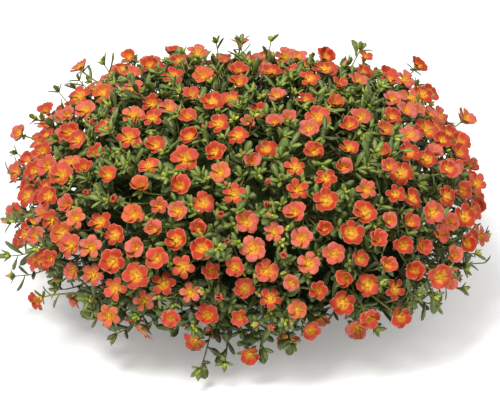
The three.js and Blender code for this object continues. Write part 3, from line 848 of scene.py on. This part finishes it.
def stamen_finish():
    """Yellow threads with golden tips round an orange middle."""
    finish = Finish("golden_stamen", Specular_IOR_Level=0.2)
    along, _, _ = finish.trait("place")
    tone, own, middle = finish.trait("nature")
    grain = finish.pattern(2200.0)
    colour = finish.ramp(along, (0.0, 228, 152, 36), (0.6, 236, 172, 46), (0.8, 240, 190, 72))
    colour = finish.mix(own.between(0.6, 1.0) * 0.4, colour, (214, 160, 56))
    colour = finish.mix(middle, colour, (236, 168, 44))
    finish.colour(colour, grain * 0.4 + tone * 0.1 + 0.8)
    finish.roughness(grain * 0.3 + 0.55)
    return finish.material


def leaf_finish():
    """Waxy leaves, yellower near their tips, with painted shade darkening leaves deep inside the plant and
    painted light brightening those near its top.
    """
    finish = Finish("waxy_leaf", Specular_IOR_Level=0.45)
    along, across, _ = finish.trait("place")
    own, youth, other = finish.trait("nature")
    off_middle = abs(across - 0.5) * 2
    cloud = finish.pattern(260.0, 3.0)
    # Painted shade: a shoot leaf's first trait shrinks towards its shoot's foot, so leaves deep inside the plant
    # get the darker green. Other leaves take it as their own tone.
    colour = finish.mix(own, (30, 46, 20), (86, 102, 44))
    colour = finish.mix(youth * 0.75, colour, (128, 144, 58))
    pale = off_middle.between(0.75, 1.0) * (1 - other.between(0.4, 0.7))
    colour = finish.mix(pale * 0.35, colour, (134, 148, 106))
    rib = (1 - off_middle.between(0.0, 0.28)) * (1 - along.between(0.6, 0.95))
    colour = finish.mix(rib * 0.3, colour, (146, 154, 80))
    blush = off_middle.between(0.8, 1.0) * other.between(0.6, 0.9) + along.between(0.92, 1.0) * other
    colour = finish.mix(blush * 0.35, colour, (134, 78, 46))
    # Painted light: leaves from 0.13 to 0.2 m up are brightened, as if lit from above.
    finish.colour(colour, cloud * 0.5 + finish.height().between(0.13, 0.2) * 0.36 + 0.62)
    finish.roughness(cloud * 0.25 + 0.3)
    finish.bump(cloud, 0.0006, 0.5)
    return finish.material


def stem_finish(name, foot, tip):
    """Smooth, round stems that turn from one colour at the foot to another at the tip."""
    finish = Finish(name, Specular_IOR_Level=0.4)
    along, around, _ = finish.trait("place")
    own, _, other = finish.trait("nature")
    streak = finish.pattern(1.0, 2.0, finish.vector(along * 14, around * 5, own * 60))
    colour = finish.mix(along.between(0.1, 0.9), foot, tip)
    colour = finish.mix(other.between(0.5, 1.0) * 0.5, colour, (150, 96, 62))
    finish.colour(colour, streak * 0.5 + 0.74)
    finish.roughness(streak * 0.2 + 0.38)
    return finish.material


def bud_finish():
    """Yellow-green buds, some with a coral tip that is about to open."""
    finish = Finish("green_bud", Specular_IOR_Level=0.4)
    along, around, _ = finish.trait("place")
    own, youth, _ = finish.trait("nature")
    grain = finish.pattern(900.0)
    colour = finish.mix(own, (124, 142, 42), (182, 184, 70))
    colour = finish.mix(youth * along.between(0.35, 0.7), colour, (214, 118, 92))
    seam = (1 - (abs(around - 0.5) * 2).between(0.0, 0.3)) * 0.3
    colour = finish.mix(seam, colour, (112, 126, 48))
    finish.colour(colour, grain * 0.4 + 0.76)
    finish.roughness(grain * 0.2 + 0.36)
    return finish.material


def hair_finish():
    """Pale silky hairs."""
    finish = Finish("silky_hair", Specular_IOR_Level=0.3, Roughness=0.6)
    along, _, _ = finish.trait("place")
    finish.colour(finish.mix(along, (178, 180, 128), (222, 218, 196)))
    return finish.material


def thicket_finish():
    """The tangle of stems and leaves in the middle, coloured as painted shade: near black low down, and painted
    lighter and greener towards its top as light from above.
    """
    finish = Finish("thicket_painted_shade_and_light", Specular_IOR_Level=0.1, Roughness=0.9)
    cloud = finish.pattern(120.0, 6.0)
    # Painted shade low down and painted light high up, mixed by height.
    low = finish.ramp(cloud, (0.3, 10, 13, 7), (0.55, 22, 29, 13), (0.75, 40, 48, 22))
    high = finish.ramp(cloud, (0.3, 40, 50, 22), (0.55, 62, 74, 34), (0.75, 86, 98, 46))
    finish.colour(finish.mix(finish.height().between(0.10, 0.17), low, high))
    finish.bump(cloud, 0.01)
    return finish.material


def stump_finish():
    """Rough brown bark with long fibres."""
    finish = Finish("stump_bark", Specular_IOR_Level=0.2)
    long_ways = finish.node("ShaderNodeMapping", {}, finish.object_place(), (0, 0, 0), (0, 0, 0), (1, 1, 0.2))
    fibre = finish.pattern(420.0, 5.0, long_ways)
    finish.colour(finish.ramp(fibre, (0.3, 66, 50, 34), (0.55, 112, 90, 62), (0.75, 150, 126, 92)))
    finish.roughness(fibre * 0.3 + 0.6)
    finish.bump(fibre, 0.002)
    return finish.material


def floor_finish():
    """A pale floor that glows a little, which keeps the plant's shadow soft."""
    finish = Finish("pale_floor", Specular_IOR_Level=0.1, Roughness=0.8, Emission_Strength=0.24)
    cloud = finish.pattern(3.0)
    finish.colour(finish.mix(cloud, (246, 246, 245), (250, 250, 249)))
    return finish.material


# ---- Blooms ----


def traits(*values):
    """Three numbers for each copy."""
    return np.stack(np.broadcast_arrays(*values), axis=-1).astype(float)


def round_about(blooms, turn):
    """The way out from a bloom's axis at a turn, for each bloom."""
    return lean_over(blooms["across"], blooms["third"], turn)


def open_blooms(blooms):
    """Nods each bloom a little and adds how far it has opened, the place of its heart and its tone."""
    k = blooms["number"]
    facing = unit(blooms["facing"] + TURN_TO_LIGHT + NOD * shake(k, "nod"))
    across = square_to(facing, blooms["across"])
    is_closing = draw(k, "is_closing") < CLOSING_SHARE
    opening = PETAL_CLOSED + (PETAL_OPEN - PETAL_CLOSED) * draw(k, "opening") ** OPENING_POWER
    rise = np.where(is_closing, PETAL_SHUT, opening)
    sunk = HEART_DEPTH * blooms["radius"] * np.sin(rise)
    blooms.update({
        "facing": facing, "across": across, "third": np.cross(facing, across), "rise": rise,
        "heart": blooms["middle"] - facing * sunk[:, None],
        "heart_size": np.where(is_closing, CLOSING_HEART, 1.0),
        "spread": np.where(is_closing, CLOSING_SPREAD, from_least(*BLOOM_SPREAD, k, "spread")),
        "tone": draw(k, "tone"), "is_faded": draw(k, "is_faded") < FADED_SHARE,
    })


def clear_of(blooms, points):
    """Which points lie outside every bloom's open cup and the space over it."""
    away = points[:, None] - blooms["heart"][None]
    above = (away * blooms["facing"][None]).sum(-1)
    aside = np.sqrt(np.maximum((away**2).sum(-1) - above**2, 0))
    petals = aside * np.tan(blooms["rise"])[None] - PETAL_ROOM
    inside = (above > petals) & (above < SPACE_OVER_BLOOM)
    inside &= aside < SPACE_ROUND_HEART * blooms["radius"][None]
    return ~inside.any(1)


def add_petals(copies, petals, blooms):
    """Five petals a bloom: each overlaps the next, and each has a lean and size of its own."""
    k, facing = blooms["number"], blooms["facing"]
    first = FIRST_TURN * draw(k, "turn")
    is_slim = draw(k, "is_slim") < SLIM_SHARE
    for petal in range(PETALS):
        ask = ASK["petal"] + petal * 4
        lean = about(blooms["rise"], PETAL_LEAN, k, ask)
        outer = round_about(blooms, about(first + 2 * math.pi * petal / PETALS, PETAL_TURN, k, ask + 1))
        along = lean_over(outer, facing, lean)
        flat = lean_over(facing, -outer, lean)
        upward = lean_over(flat, np.cross(along, flat), about(*PETAL_ROLL, k, ask + 2))
        length = blooms["radius"] * from_least(blooms["spread"], PETAL_LENGTH_SPREAD, k, ask)
        width = length * from_least(*PETAL_WIDTH, k, ask + 3)
        kind = np.where(is_slim, SLIM_KIND, choose(SLIM_KIND, k, ask + 3))
        nature = traits(blooms["tone"], draw(k, ask), blooms["is_faded"])
        for number, shape in enumerate(petals):
            copies.add(shape, blooms["heart"] + outer * PETAL_FOOT, along, upward, length, width, nature,
                       kind == number)


def add_stamens(copies, shapes, blooms):
    """A small dome in each bloom's heart, with stamens that lean out all round it."""
    k, facing = blooms["number"], blooms["facing"]
    dome = DOME_SIZE * blooms["heart_size"]
    copies.add(shapes["dome"], blooms["heart"] - facing * DOME_SUNK, facing, blooms["across"], dome, dome,
               traits(blooms["tone"], 0.0, DOME_TONE))
    for stamen in range(STAMENS):
        own = draw(k, ASK["stamen"] + stamen)
        outer = round_about(blooms, stamen * GOLDEN_ANGLE + own)
        lean = STAMEN_LEAN["inner"] + STAMEN_LEAN["outer"] * math.sqrt(stamen / STAMENS)
        lean = lean + STAMEN_LEAN["own"] * own
        length = STAMEN_LENGTH * (1 - STAMEN_SHORTENING * own) * blooms["heart_size"]
        copies.add(shapes["stamen"], blooms["heart"] + outer * STAMEN_FOOT, lean_over(facing, outer, lean),
                   outer, length, length, traits(blooms["tone"], own, 0.0))


def bend(start, end, start_way, end_way, stations):
    """Smooth paths from each start to each end, which leave and arrive in given ways."""
    reach_in = np.linalg.norm(end - start, axis=-1, keepdims=True) * BEND_REACH
    s = np.linspace(0, 1, stations)[None, :, None]
    corners = [start, start + start_way * reach_in, end - end_way * reach_in, end]
    shares = [(1 - s) ** 3, 3 * s * (1 - s) ** 2, 3 * s * s * (1 - s), s**3]
    return sum(share * corner[:, None] for share, corner in zip(shares, corners))


def stalk_paths(blooms):
    """Each bloom's stalk, from its knob to the cup under its petals."""
    end = blooms["heart"] - blooms["facing"] * CUP_LENGTH
    straight = unit(end - blooms["origin"])
    return bend(blooms["origin"], end, unit(straight + STALK_SWAY * shake(blooms["number"], "stalk")),
                unit(straight + STALK_ARRIVAL * blooms["facing"]), STALK_STATIONS)


def add_stalks(copies, shapes, blooms):
    """Stalks, and the green cup that each bloom sits in."""
    k, paths = blooms["number"], blooms["stalk"]
    nature = traits(draw(k, "stalk"), 0.0, draw(k, ASK["stalk"] + 1))
    copies.add_tubes(paths, np.linspace(*STALK_RADII, STALK_STATIONS), STALK_SIDES, nature)
    cup = np.full(len(paths), CUP_LENGTH)
    copies.add(shapes["cup"], paths[:, -1], blooms["facing"], blooms["across"], cup, cup, nature)


def add_hairs(copies, shapes, blooms):
    """Silky hairs that stand out from the leaf axils under each bloom."""
    k, root = blooms["number"], blooms["stalk"][:, -1]
    for hair in range(HAIRS):
        ask = ASK["hair"] + hair
        outer = round_about(blooms, 2 * math.pi * (hair + draw(k, ask)) / HAIRS)
        along = outer + blooms["facing"] * (draw(k, ask) - HAIR_DROOP)[:, None]
        length = from_least(*HAIR_LENGTH, k, ask + 1)
        copies.add(shapes["hair"], root + outer * HAIR_FOOT, along, blooms["facing"], length, length,
                   traits(draw(k, "hair"), 0.0, 0.0))


# ---- Leaves and shoots ----


class Foliage:
    """Leaves gathered by the leafy node that they grow nearest to, clear of floor and blooms."""

    def __init__(self, shapes, blooms):
        self.shapes, self.blooms = shapes, blooms
        self.leaves = [shapes[kind] for kind in LEAF_KINDS]
        self.nodes = sorted(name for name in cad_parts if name.startswith("leafy_stems"))
        self.middles = np.array([np.mean([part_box(name)[0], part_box(name)[1]], axis=0) for name in self.nodes])
        self.copies = [Copies() for _ in self.nodes]

    def add(self, kind, origin, along, upward, length, width, nature):
        way = unit(along) * length[:, None]
        tip = origin + way
        keep = np.minimum(origin, tip)[:, 2] > LOWEST_LEAF
        keep &= ((tip > ROOM_LOW) & (tip < ROOM_HIGH)).all(1)
        for part in (tip, origin + 0.5 * way):
            keep &= clear_of(self.blooms, part)
        home = distances(towards(origin), towards(self.middles)).argmin(1)
        for node, copies in enumerate(self.copies):
            for number, shape in enumerate(self.leaves):
                copies.add(shape, origin, along, upward, length, width, nature,
                           keep & (home == node) & (kind == number))


def add_whorl(foliage, item, question, origin, axis, side, count, spread, length, youth):
    """A whorl of small leaves that lean out from an axis."""
    third = np.cross(axis, side)
    for leaf in range(count):
        ask = question + leaf * 3
        outer = lean_over(side, third, leaf * 2 * math.pi / count + draw(item, ask))
        along = lean_over(axis, outer, about(spread, WHORL_LEAN, item, ask + 1))
        size = length * from_least(*WHORL_SIZE, item, ask + 2)
        nature = traits(draw(item, ask + 2), youth, draw(item, ask + 1))
        kind = np.full(len(item), SMALL_LEAF_KIND)
        foliage.add(kind, origin, along, axis - WHORL_FACING * outer, size, size * WHORL_WIDTH, nature)


def add_bloom_leaves(foliage, blooms):
    """A whorl of small leaves under each bloom, and a few single leaves down its stalk."""
    k, paths = blooms["number"], blooms["stalk"]
    add_whorl(foliage, k, ASK["bloom_whorl"], paths[:, -1], blooms["facing"], blooms["across"], **BLOOM_WHORL)
    for leaf, station in enumerate(STALK_LEAF_STATIONS):
        ask = ASK["stalk_leaf"] + leaf * 4
        way = unit(paths[:, station + 1] - paths[:, station])
        outer = square_to(way, round_about(blooms, draw(k, ask) * 2 * math.pi))
        along = lean_over(way, outer, from_least(*STALK_LEAF_LEAN, k, ask + 1)) + STALK_LEAF_RISE * UP
        size = from_least(*STALK_LEAF_LENGTH, k, ask + 2)
        foliage.add(choose(LARGE_LEAF_KINDS, k, ask + 3), paths[:, station], along,
                    way + STALK_LEAF_FACING_UP * UP, size, size,
                    traits(draw(k, ask + 2), STALK_LEAF_YOUTH, draw(k, ask)))


def grow_shoots(blooms):
    """The paths and numbers of the leafy shoots that find their way out between the blooms. Each
    leaves the dark middle and leans one way. They are fewer and deeper down the sides, and some
    reach out past the blooms."""
    k = np.arange(SHOOT_COUNT)
    direction = spiral(SHOOT_COUNT, SHOOT_LOWEST_LEVEL, SHOOT_FIRST_TURN)
    side, _, rise = outward(direction).T
    is_kept = draw(k, "is_kept") < np.maximum(KEPT["level"] + KEPT["by_rise"] * rise, KEPT["least"])
    k, direction, side, rise = k[is_kept], direction[is_kept], side[is_kept], rise[is_kept]
    leafier = (side > LEAFY_SIDE["right"]) & (rise < LEAFY_SIDE["right_below"])
    leafier |= side < LEAFY_SIDE["left"]
    is_reaching = draw(k, "is_reaching") < np.where(leafier, LEAFY_SIDE_SHARE, REACHING_SHARE)
    is_reaching &= rise > REACHING_LOWEST
    lift = np.where(is_reaching, from_least(*REACHING_TIP, k, "shoot_lift"),
                    SHOOT_TIP - SHOOT_TIP_SPREAD * draw(k, "shoot_lift") * (SHOOT_TIP_SIDES - rise))
    is_leaning = draw(k, "is_leaning") < LEANING_SHARE
    aside = np.where(is_leaning, TIP_ASIDE["leaning"], TIP_ASIDE["upright"])[:, None]
    tip = on_box(MOUND, direction, lift) + aside * shake(k, "aside")
    end = np.concatenate([REACHING_SHOOTS, on_box(MOUND, towards(tip), lift), RISING_SHOOTS])
    end = np.clip(end, ROOM_LOW + TIP_ROOM, ROOM_HIGH - TIP_ROOM)
    keep_above(end, LOWEST_TIP)
    k = np.arange(len(end)) + FIRST_SHOOT
    root = np.concatenate([towards(REACHING_SHOOTS), direction, towards(RISING_SHOOTS)])
    start = on_box(MOUND, root, np.full(len(end), SHOOT_FOOT))
    keep_above(start, LOWEST_ROOT)
    way = unit(end - start)
    paths = bend(start, end, unit(way + SHOOT_SWAY * shake(k, "sway")), unit(way + SHOOT_RISE * UP),
                 SHOOT_STATIONS)
    keep = clear_of(blooms, paths[:, -1]) & clear_of(blooms, paths[:, -2])
    keep &= clear_of(blooms, paths[:, -1] + SHOOT_CLEARANCE * unit(paths[:, -1] - paths[:, -2]))
    return k[keep], paths[keep]


def add_shoots(foliage, stems, buds, k, paths):
    """The shoots' stems, their leaves, the whorls at their tips and the buds in some of those."""
    stems.add_tubes(paths, np.linspace(*SHOOT_STEM_RADII, SHOOT_STATIONS), SHOOT_STEM_SIDES,
                    traits(draw(k, "stem_tone"), 0.0, draw(k, ASK["stem_tone"] + 1)))
    tip_way = unit(paths[:, -1] - paths[:, -2])
    side = unit(np.cross(tip_way, BESIDE_UP["whorl"]))
    third = np.cross(tip_way, side)
    is_bare = draw(k, "is_bare") < BARE_SHARE
    rows = np.arange(len(k))
    last = SHOOT_STATIONS - 1
    for leaf in range(SHOOT_LEAVES):
        ask = ASK["shoot_leaf"] + leaf * 5
        shifted = leaf + LEAFY_PART["shift"] * draw(k, ask)
        s = LEAFY_PART["start"] + LEAFY_PART["length"] * shifted / SHOOT_LEAVES
        low = np.minimum(np.floor(s * last).astype(int), last - 1)
        share = (s * last - low)[:, None]
        before, after = paths[rows, low], paths[rows, low + 1]
        way = unit(after - before)
        turn = leaf * GOLDEN_ANGLE + 2 * math.pi * draw(k, "first_leaf")
        outer = square_to(way, lean_over(side, third, turn + LEAF_TURN * draw(k, ask + 1)))
        along = lean_over(way, outer, from_least(*LEAF_LEAN, k, ask + 2)) + LEAF_RISE * UP
        size = from_least(*LEAF_LENGTH, k, ask + 3)
        # The first trait is the leaf's own tone times its place up the shoot: painted shade that darkens leaves
        # deep inside the plant.
        leaves = [choose(LARGE_LEAF_KINDS, k, ask + 4), before * (1 - share) + after * share, along,
                  way + LEAF_FACING_UP * UP, size, size * from_least(*LEAF_WIDTH, k, ask + 1),
                  traits(draw(k, ask + 3) * s, LEAF_YOUTH * s * s, draw(k, ask + 4))]
        is_grown = ~is_bare | (draw(k, ask + 1) < LEAF_ON_BARE_SHARE)
        foliage.add(*(values[is_grown] for values in leaves))
    add_whorl(foliage, k, ASK["tip_whorl"], paths[:, -1], tip_way, side, **TIP_WHORL)
    add_buds(buds, foliage.shapes["bud"], k, paths[:, -1], tip_way, side)


def add_buds(buds, shape, item, origin, axis, side):
    """Round buds in the middle of some whorls. The first of a few clusters is about to open."""
    third = np.cross(axis, side)
    has_buds = draw(item, "has_buds") < BUD_SHARES["any"]
    is_bursting = draw(item, "is_bursting") < BUD_SHARES["bursting"]
    for bud in range(BUDS):
        ask = ASK["bud"] + bud * 4
        outer = lean_over(side, third, bud * GOLDEN_ANGLE + BUD_TURN * draw(item, ask + 1))
        is_first = bud == 0
        is_long = is_bursting & is_first
        lean = BUD_LEAN["first" if is_first else "more"]
        size = np.where(is_long, BURSTING_BUD["length"], from_least(*BUD_LENGTH, item, ask + 2))
        width = np.where(is_long, BURSTING_BUD["width"], size * BUD_WIDTH)
        foot = origin + axis * BUD_FOOT["up"] + outer * (0 if is_first else BUD_FOOT["out"])
        those = has_buds & (is_first | (draw(item, ask) < BUD_SHARES["more"]))
        buds.add(shape, foot, lean_over(axis, outer, lean), outer, size, width,
                 traits(draw(item, ask + 3), is_long, 0.0), those)


# ---- The dark middle and the stump ----


def thicket_piece(material):
    """The dense middle that the shoots grow out of, with a lumpy surface. Its finish paints the shade inside the
    plant.
    """
    bpy.ops.mesh.primitive_ico_sphere_add(subdivisions=THICKET_FINENESS, radius=1)
    ball = bpy.context.object
    direction = unit(np.array([vert.co for vert in ball.data.vertices]))
    triangles = triangles_of(ball.data)
    bpy.data.objects.remove(ball)
    lift = THICKET_DEPTH * (np.maximum(direction[:, 2], 0) - 1)
    for k in range(THICKET_LUMPS):
        way = unit(shake(k, "lump"))
        fineness = THICKET_WAVES["first"] + THICKET_WAVES["step"] * k
        lift = lift + THICKET_LUMP_HEIGHT * np.sin(direction @ way * fineness + k)
    points = on_box(CORE, direction, lift)
    keep_above(points, THICKET_LOWEST)
    mesh_piece("inner_thicket", points, triangles, material, "leaf")


def stump_piece(material):
    """The woody stump, cut flat where it rests."""
    low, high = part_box("crown")
    bpy.ops.mesh.primitive_cylinder_add(vertices=STUMP_SIDES, radius=1, depth=high.z - low.z,
                                        location=(0, 0, (low.z + high.z) / 2))
    stump = start_editing("stump")
    cut_rings(list(STUMP_RINGS)[1:], (0, 0, 1))
    for height, radius in [*STUMP_RINGS.items(), (high.z, STUMP_TOP_RADIUS)]:
        pick(stump, lambda point: near(point.z, height, STUMP_SLACK))
        bpy.ops.transform.resize(value=(radius, radius, 1), center_override=(0, 0, height))
    bpy.ops.mesh.select_all(action="SELECT")
    bpy.ops.mesh.subdivide(number_cuts=1)
    bpy.ops.object.mode_set(mode="OBJECT")
    bark = bpy.data.textures.new("bark_lumps", "CLOUDS")
    bark.noise_scale = BARK_LUMP["size"]
    lumps = stump.modifiers.new("lumps", "DISPLACE")
    lumps.texture, lumps.strength, lumps.mid_level = bark, BARK_LUMP["height"], 0.5
    bpy.ops.object.modifier_apply(modifier=lumps.name)
    for vert in stump.data.vertices:
        vert.co.z = max(vert.co.z, 0.0)
    stump.data.materials.clear()
    stump.data.materials.append(material)
    bpy.ops.object.shade_smooth_by_angle(angle=STUMP_SHARP_EDGE)
    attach(stump, "root")
    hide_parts("crown")


def add_low_stems(stems):
    """The lowest stems: each dips to the surface at its knee and rises again."""
    number = np.arange(LOW_STEMS)
    turn = np.radians(LOW_STEM_TURN + 360 / LOW_STEMS * number)
    out = np.stack([np.cos(turn), np.sin(turn), np.zeros(LOW_STEMS)], 1)
    width = reach(CORE, out)[:, None]
    paths = np.stack([out * share * width + UP * height for share, height in LOW_STEM_PATH], 1)
    stems.add_tubes(paths, LOW_STEM_RADIUS, LOW_STEM_SIDES,
                    traits(draw(number, "low_stem"), 0.0, LOW_STEM_BROWN))


# ---- The studio ----

CAMERA_ELEVATION = math.radians(30)
CAMERA_DISTANCE = 4.0
CAMERA_TARGET = np.array([0.001, 0.0, 0.1005])
VIEW_WIDTH = 0.5
SENSOR = 36.0
FLOOR_SIZE = 12
SKY_STRENGTH = 0.54
FURTHEST_SEEN = 50
# Each lamp's place, size and power
LAMPS = {"key": ((-0.8, -0.8, 2.6), 1.2, 76.0), "fill": ((1.6, -1.0, 1.6), 1.6, 13.0)}
LAMP_TARGET = (0, 0, 0.1)


def set_up(name, content, place, target):
    """Puts a lamp or camera at a place and turns it to a target."""
    stand = bpy.data.objects.new(name, content)
    bpy.context.collection.objects.link(stand)
    stand.location = Vector(place)
    stand.rotation_euler = (Vector(target) - Vector(place)).to_track_quat("-Z", "Y").to_euler()
    return stand


def make_studio():
    """The floor, the even light from the sky, two lamps and the camera."""
    bpy.ops.mesh.primitive_plane_add(size=FLOOR_SIZE)
    floor = bpy.context.object
    floor.name = "floor"
    floor.data.materials.append(floor_finish())

    world = bpy.data.worlds.new("studio")
    world.use_nodes = True
    sky = world.node_tree.nodes["Background"].inputs
    sky["Color"].default_value = (1.0, 1.0, 1.0, 1.0)
    sky["Strength"].default_value = SKY_STRENGTH
    bpy.context.scene.world = world

    for name, (place, size, power) in LAMPS.items():
        lamp = bpy.data.lights.new(name, "AREA")
        lamp.size, lamp.energy = size, power
        set_up(name, lamp, place, LAMP_TARGET)

    camera = bpy.data.cameras.new("camera")
    camera.sensor_width = SENSOR
    camera.lens = SENSOR * CAMERA_DISTANCE / VIEW_WIDTH
    camera.clip_end = FURTHEST_SEEN
    back = np.array([0, -math.cos(CAMERA_ELEVATION), math.sin(CAMERA_ELEVATION)])
    bpy.context.scene.camera = set_up("camera", camera, CAMERA_TARGET + back * CAMERA_DISTANCE, CAMERA_TARGET)
    bpy.context.scene.view_settings.view_transform = "Standard"


# ---- The plant ----

petal_shapes = [model_petal(name, *form) for name, form in PETAL_KINDS.items()]
shapes = {name: model_blade(name, *form) for name, form in BLADES.items()}
blooms = grow_blooms()
open_blooms(blooms)
blooms["stalk"] = stalk_paths(blooms)

coral = petal_finish()
for number in range(SPRAY_COUNT):
    members = {key: value[blooms["spray"] == number] for key, value in blooms.items()}
    petals = Copies()
    add_petals(petals, petal_shapes, members)
    piece = petals.join(f"spray_{number + 1:02d}_petals", coral, "petal")
    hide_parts(f"bloom_spray_{number + 1:02d}")

for name, add, finish, slot in (
        ("stamens", add_stamens, stamen_finish(), "stamen"),
        ("bloom_stalks", add_stalks, stem_finish("green_stalk", (98, 100, 44), (146, 148, 68)), "stalk"),
        ("axil_hairs", add_hairs, hair_finish(), "stalk")):
    copies = Copies()
    add(copies, shapes, blooms)
    copies.join(name, finish, slot)

foliage = Foliage(shapes, blooms)
stems, buds = Copies(), Copies()
add_bloom_leaves(foliage, blooms)
add_shoots(foliage, stems, buds, *grow_shoots(blooms))
add_low_stems(stems)
green = leaf_finish()
for node, copies in zip(foliage.nodes, foliage.copies):
    piece = copies.join(node.replace("leafy_stems", "leaves"), green, "leaf")
    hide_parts(node)
stems.join("shoot_stems", stem_finish("tan_stem", (96, 78, 46), (124, 130, 62)), "stalk")
buds.join("buds", bud_finish(), "bud")

thicket_piece(thicket_finish())
stump_piece(stump_finish())
make_studio()
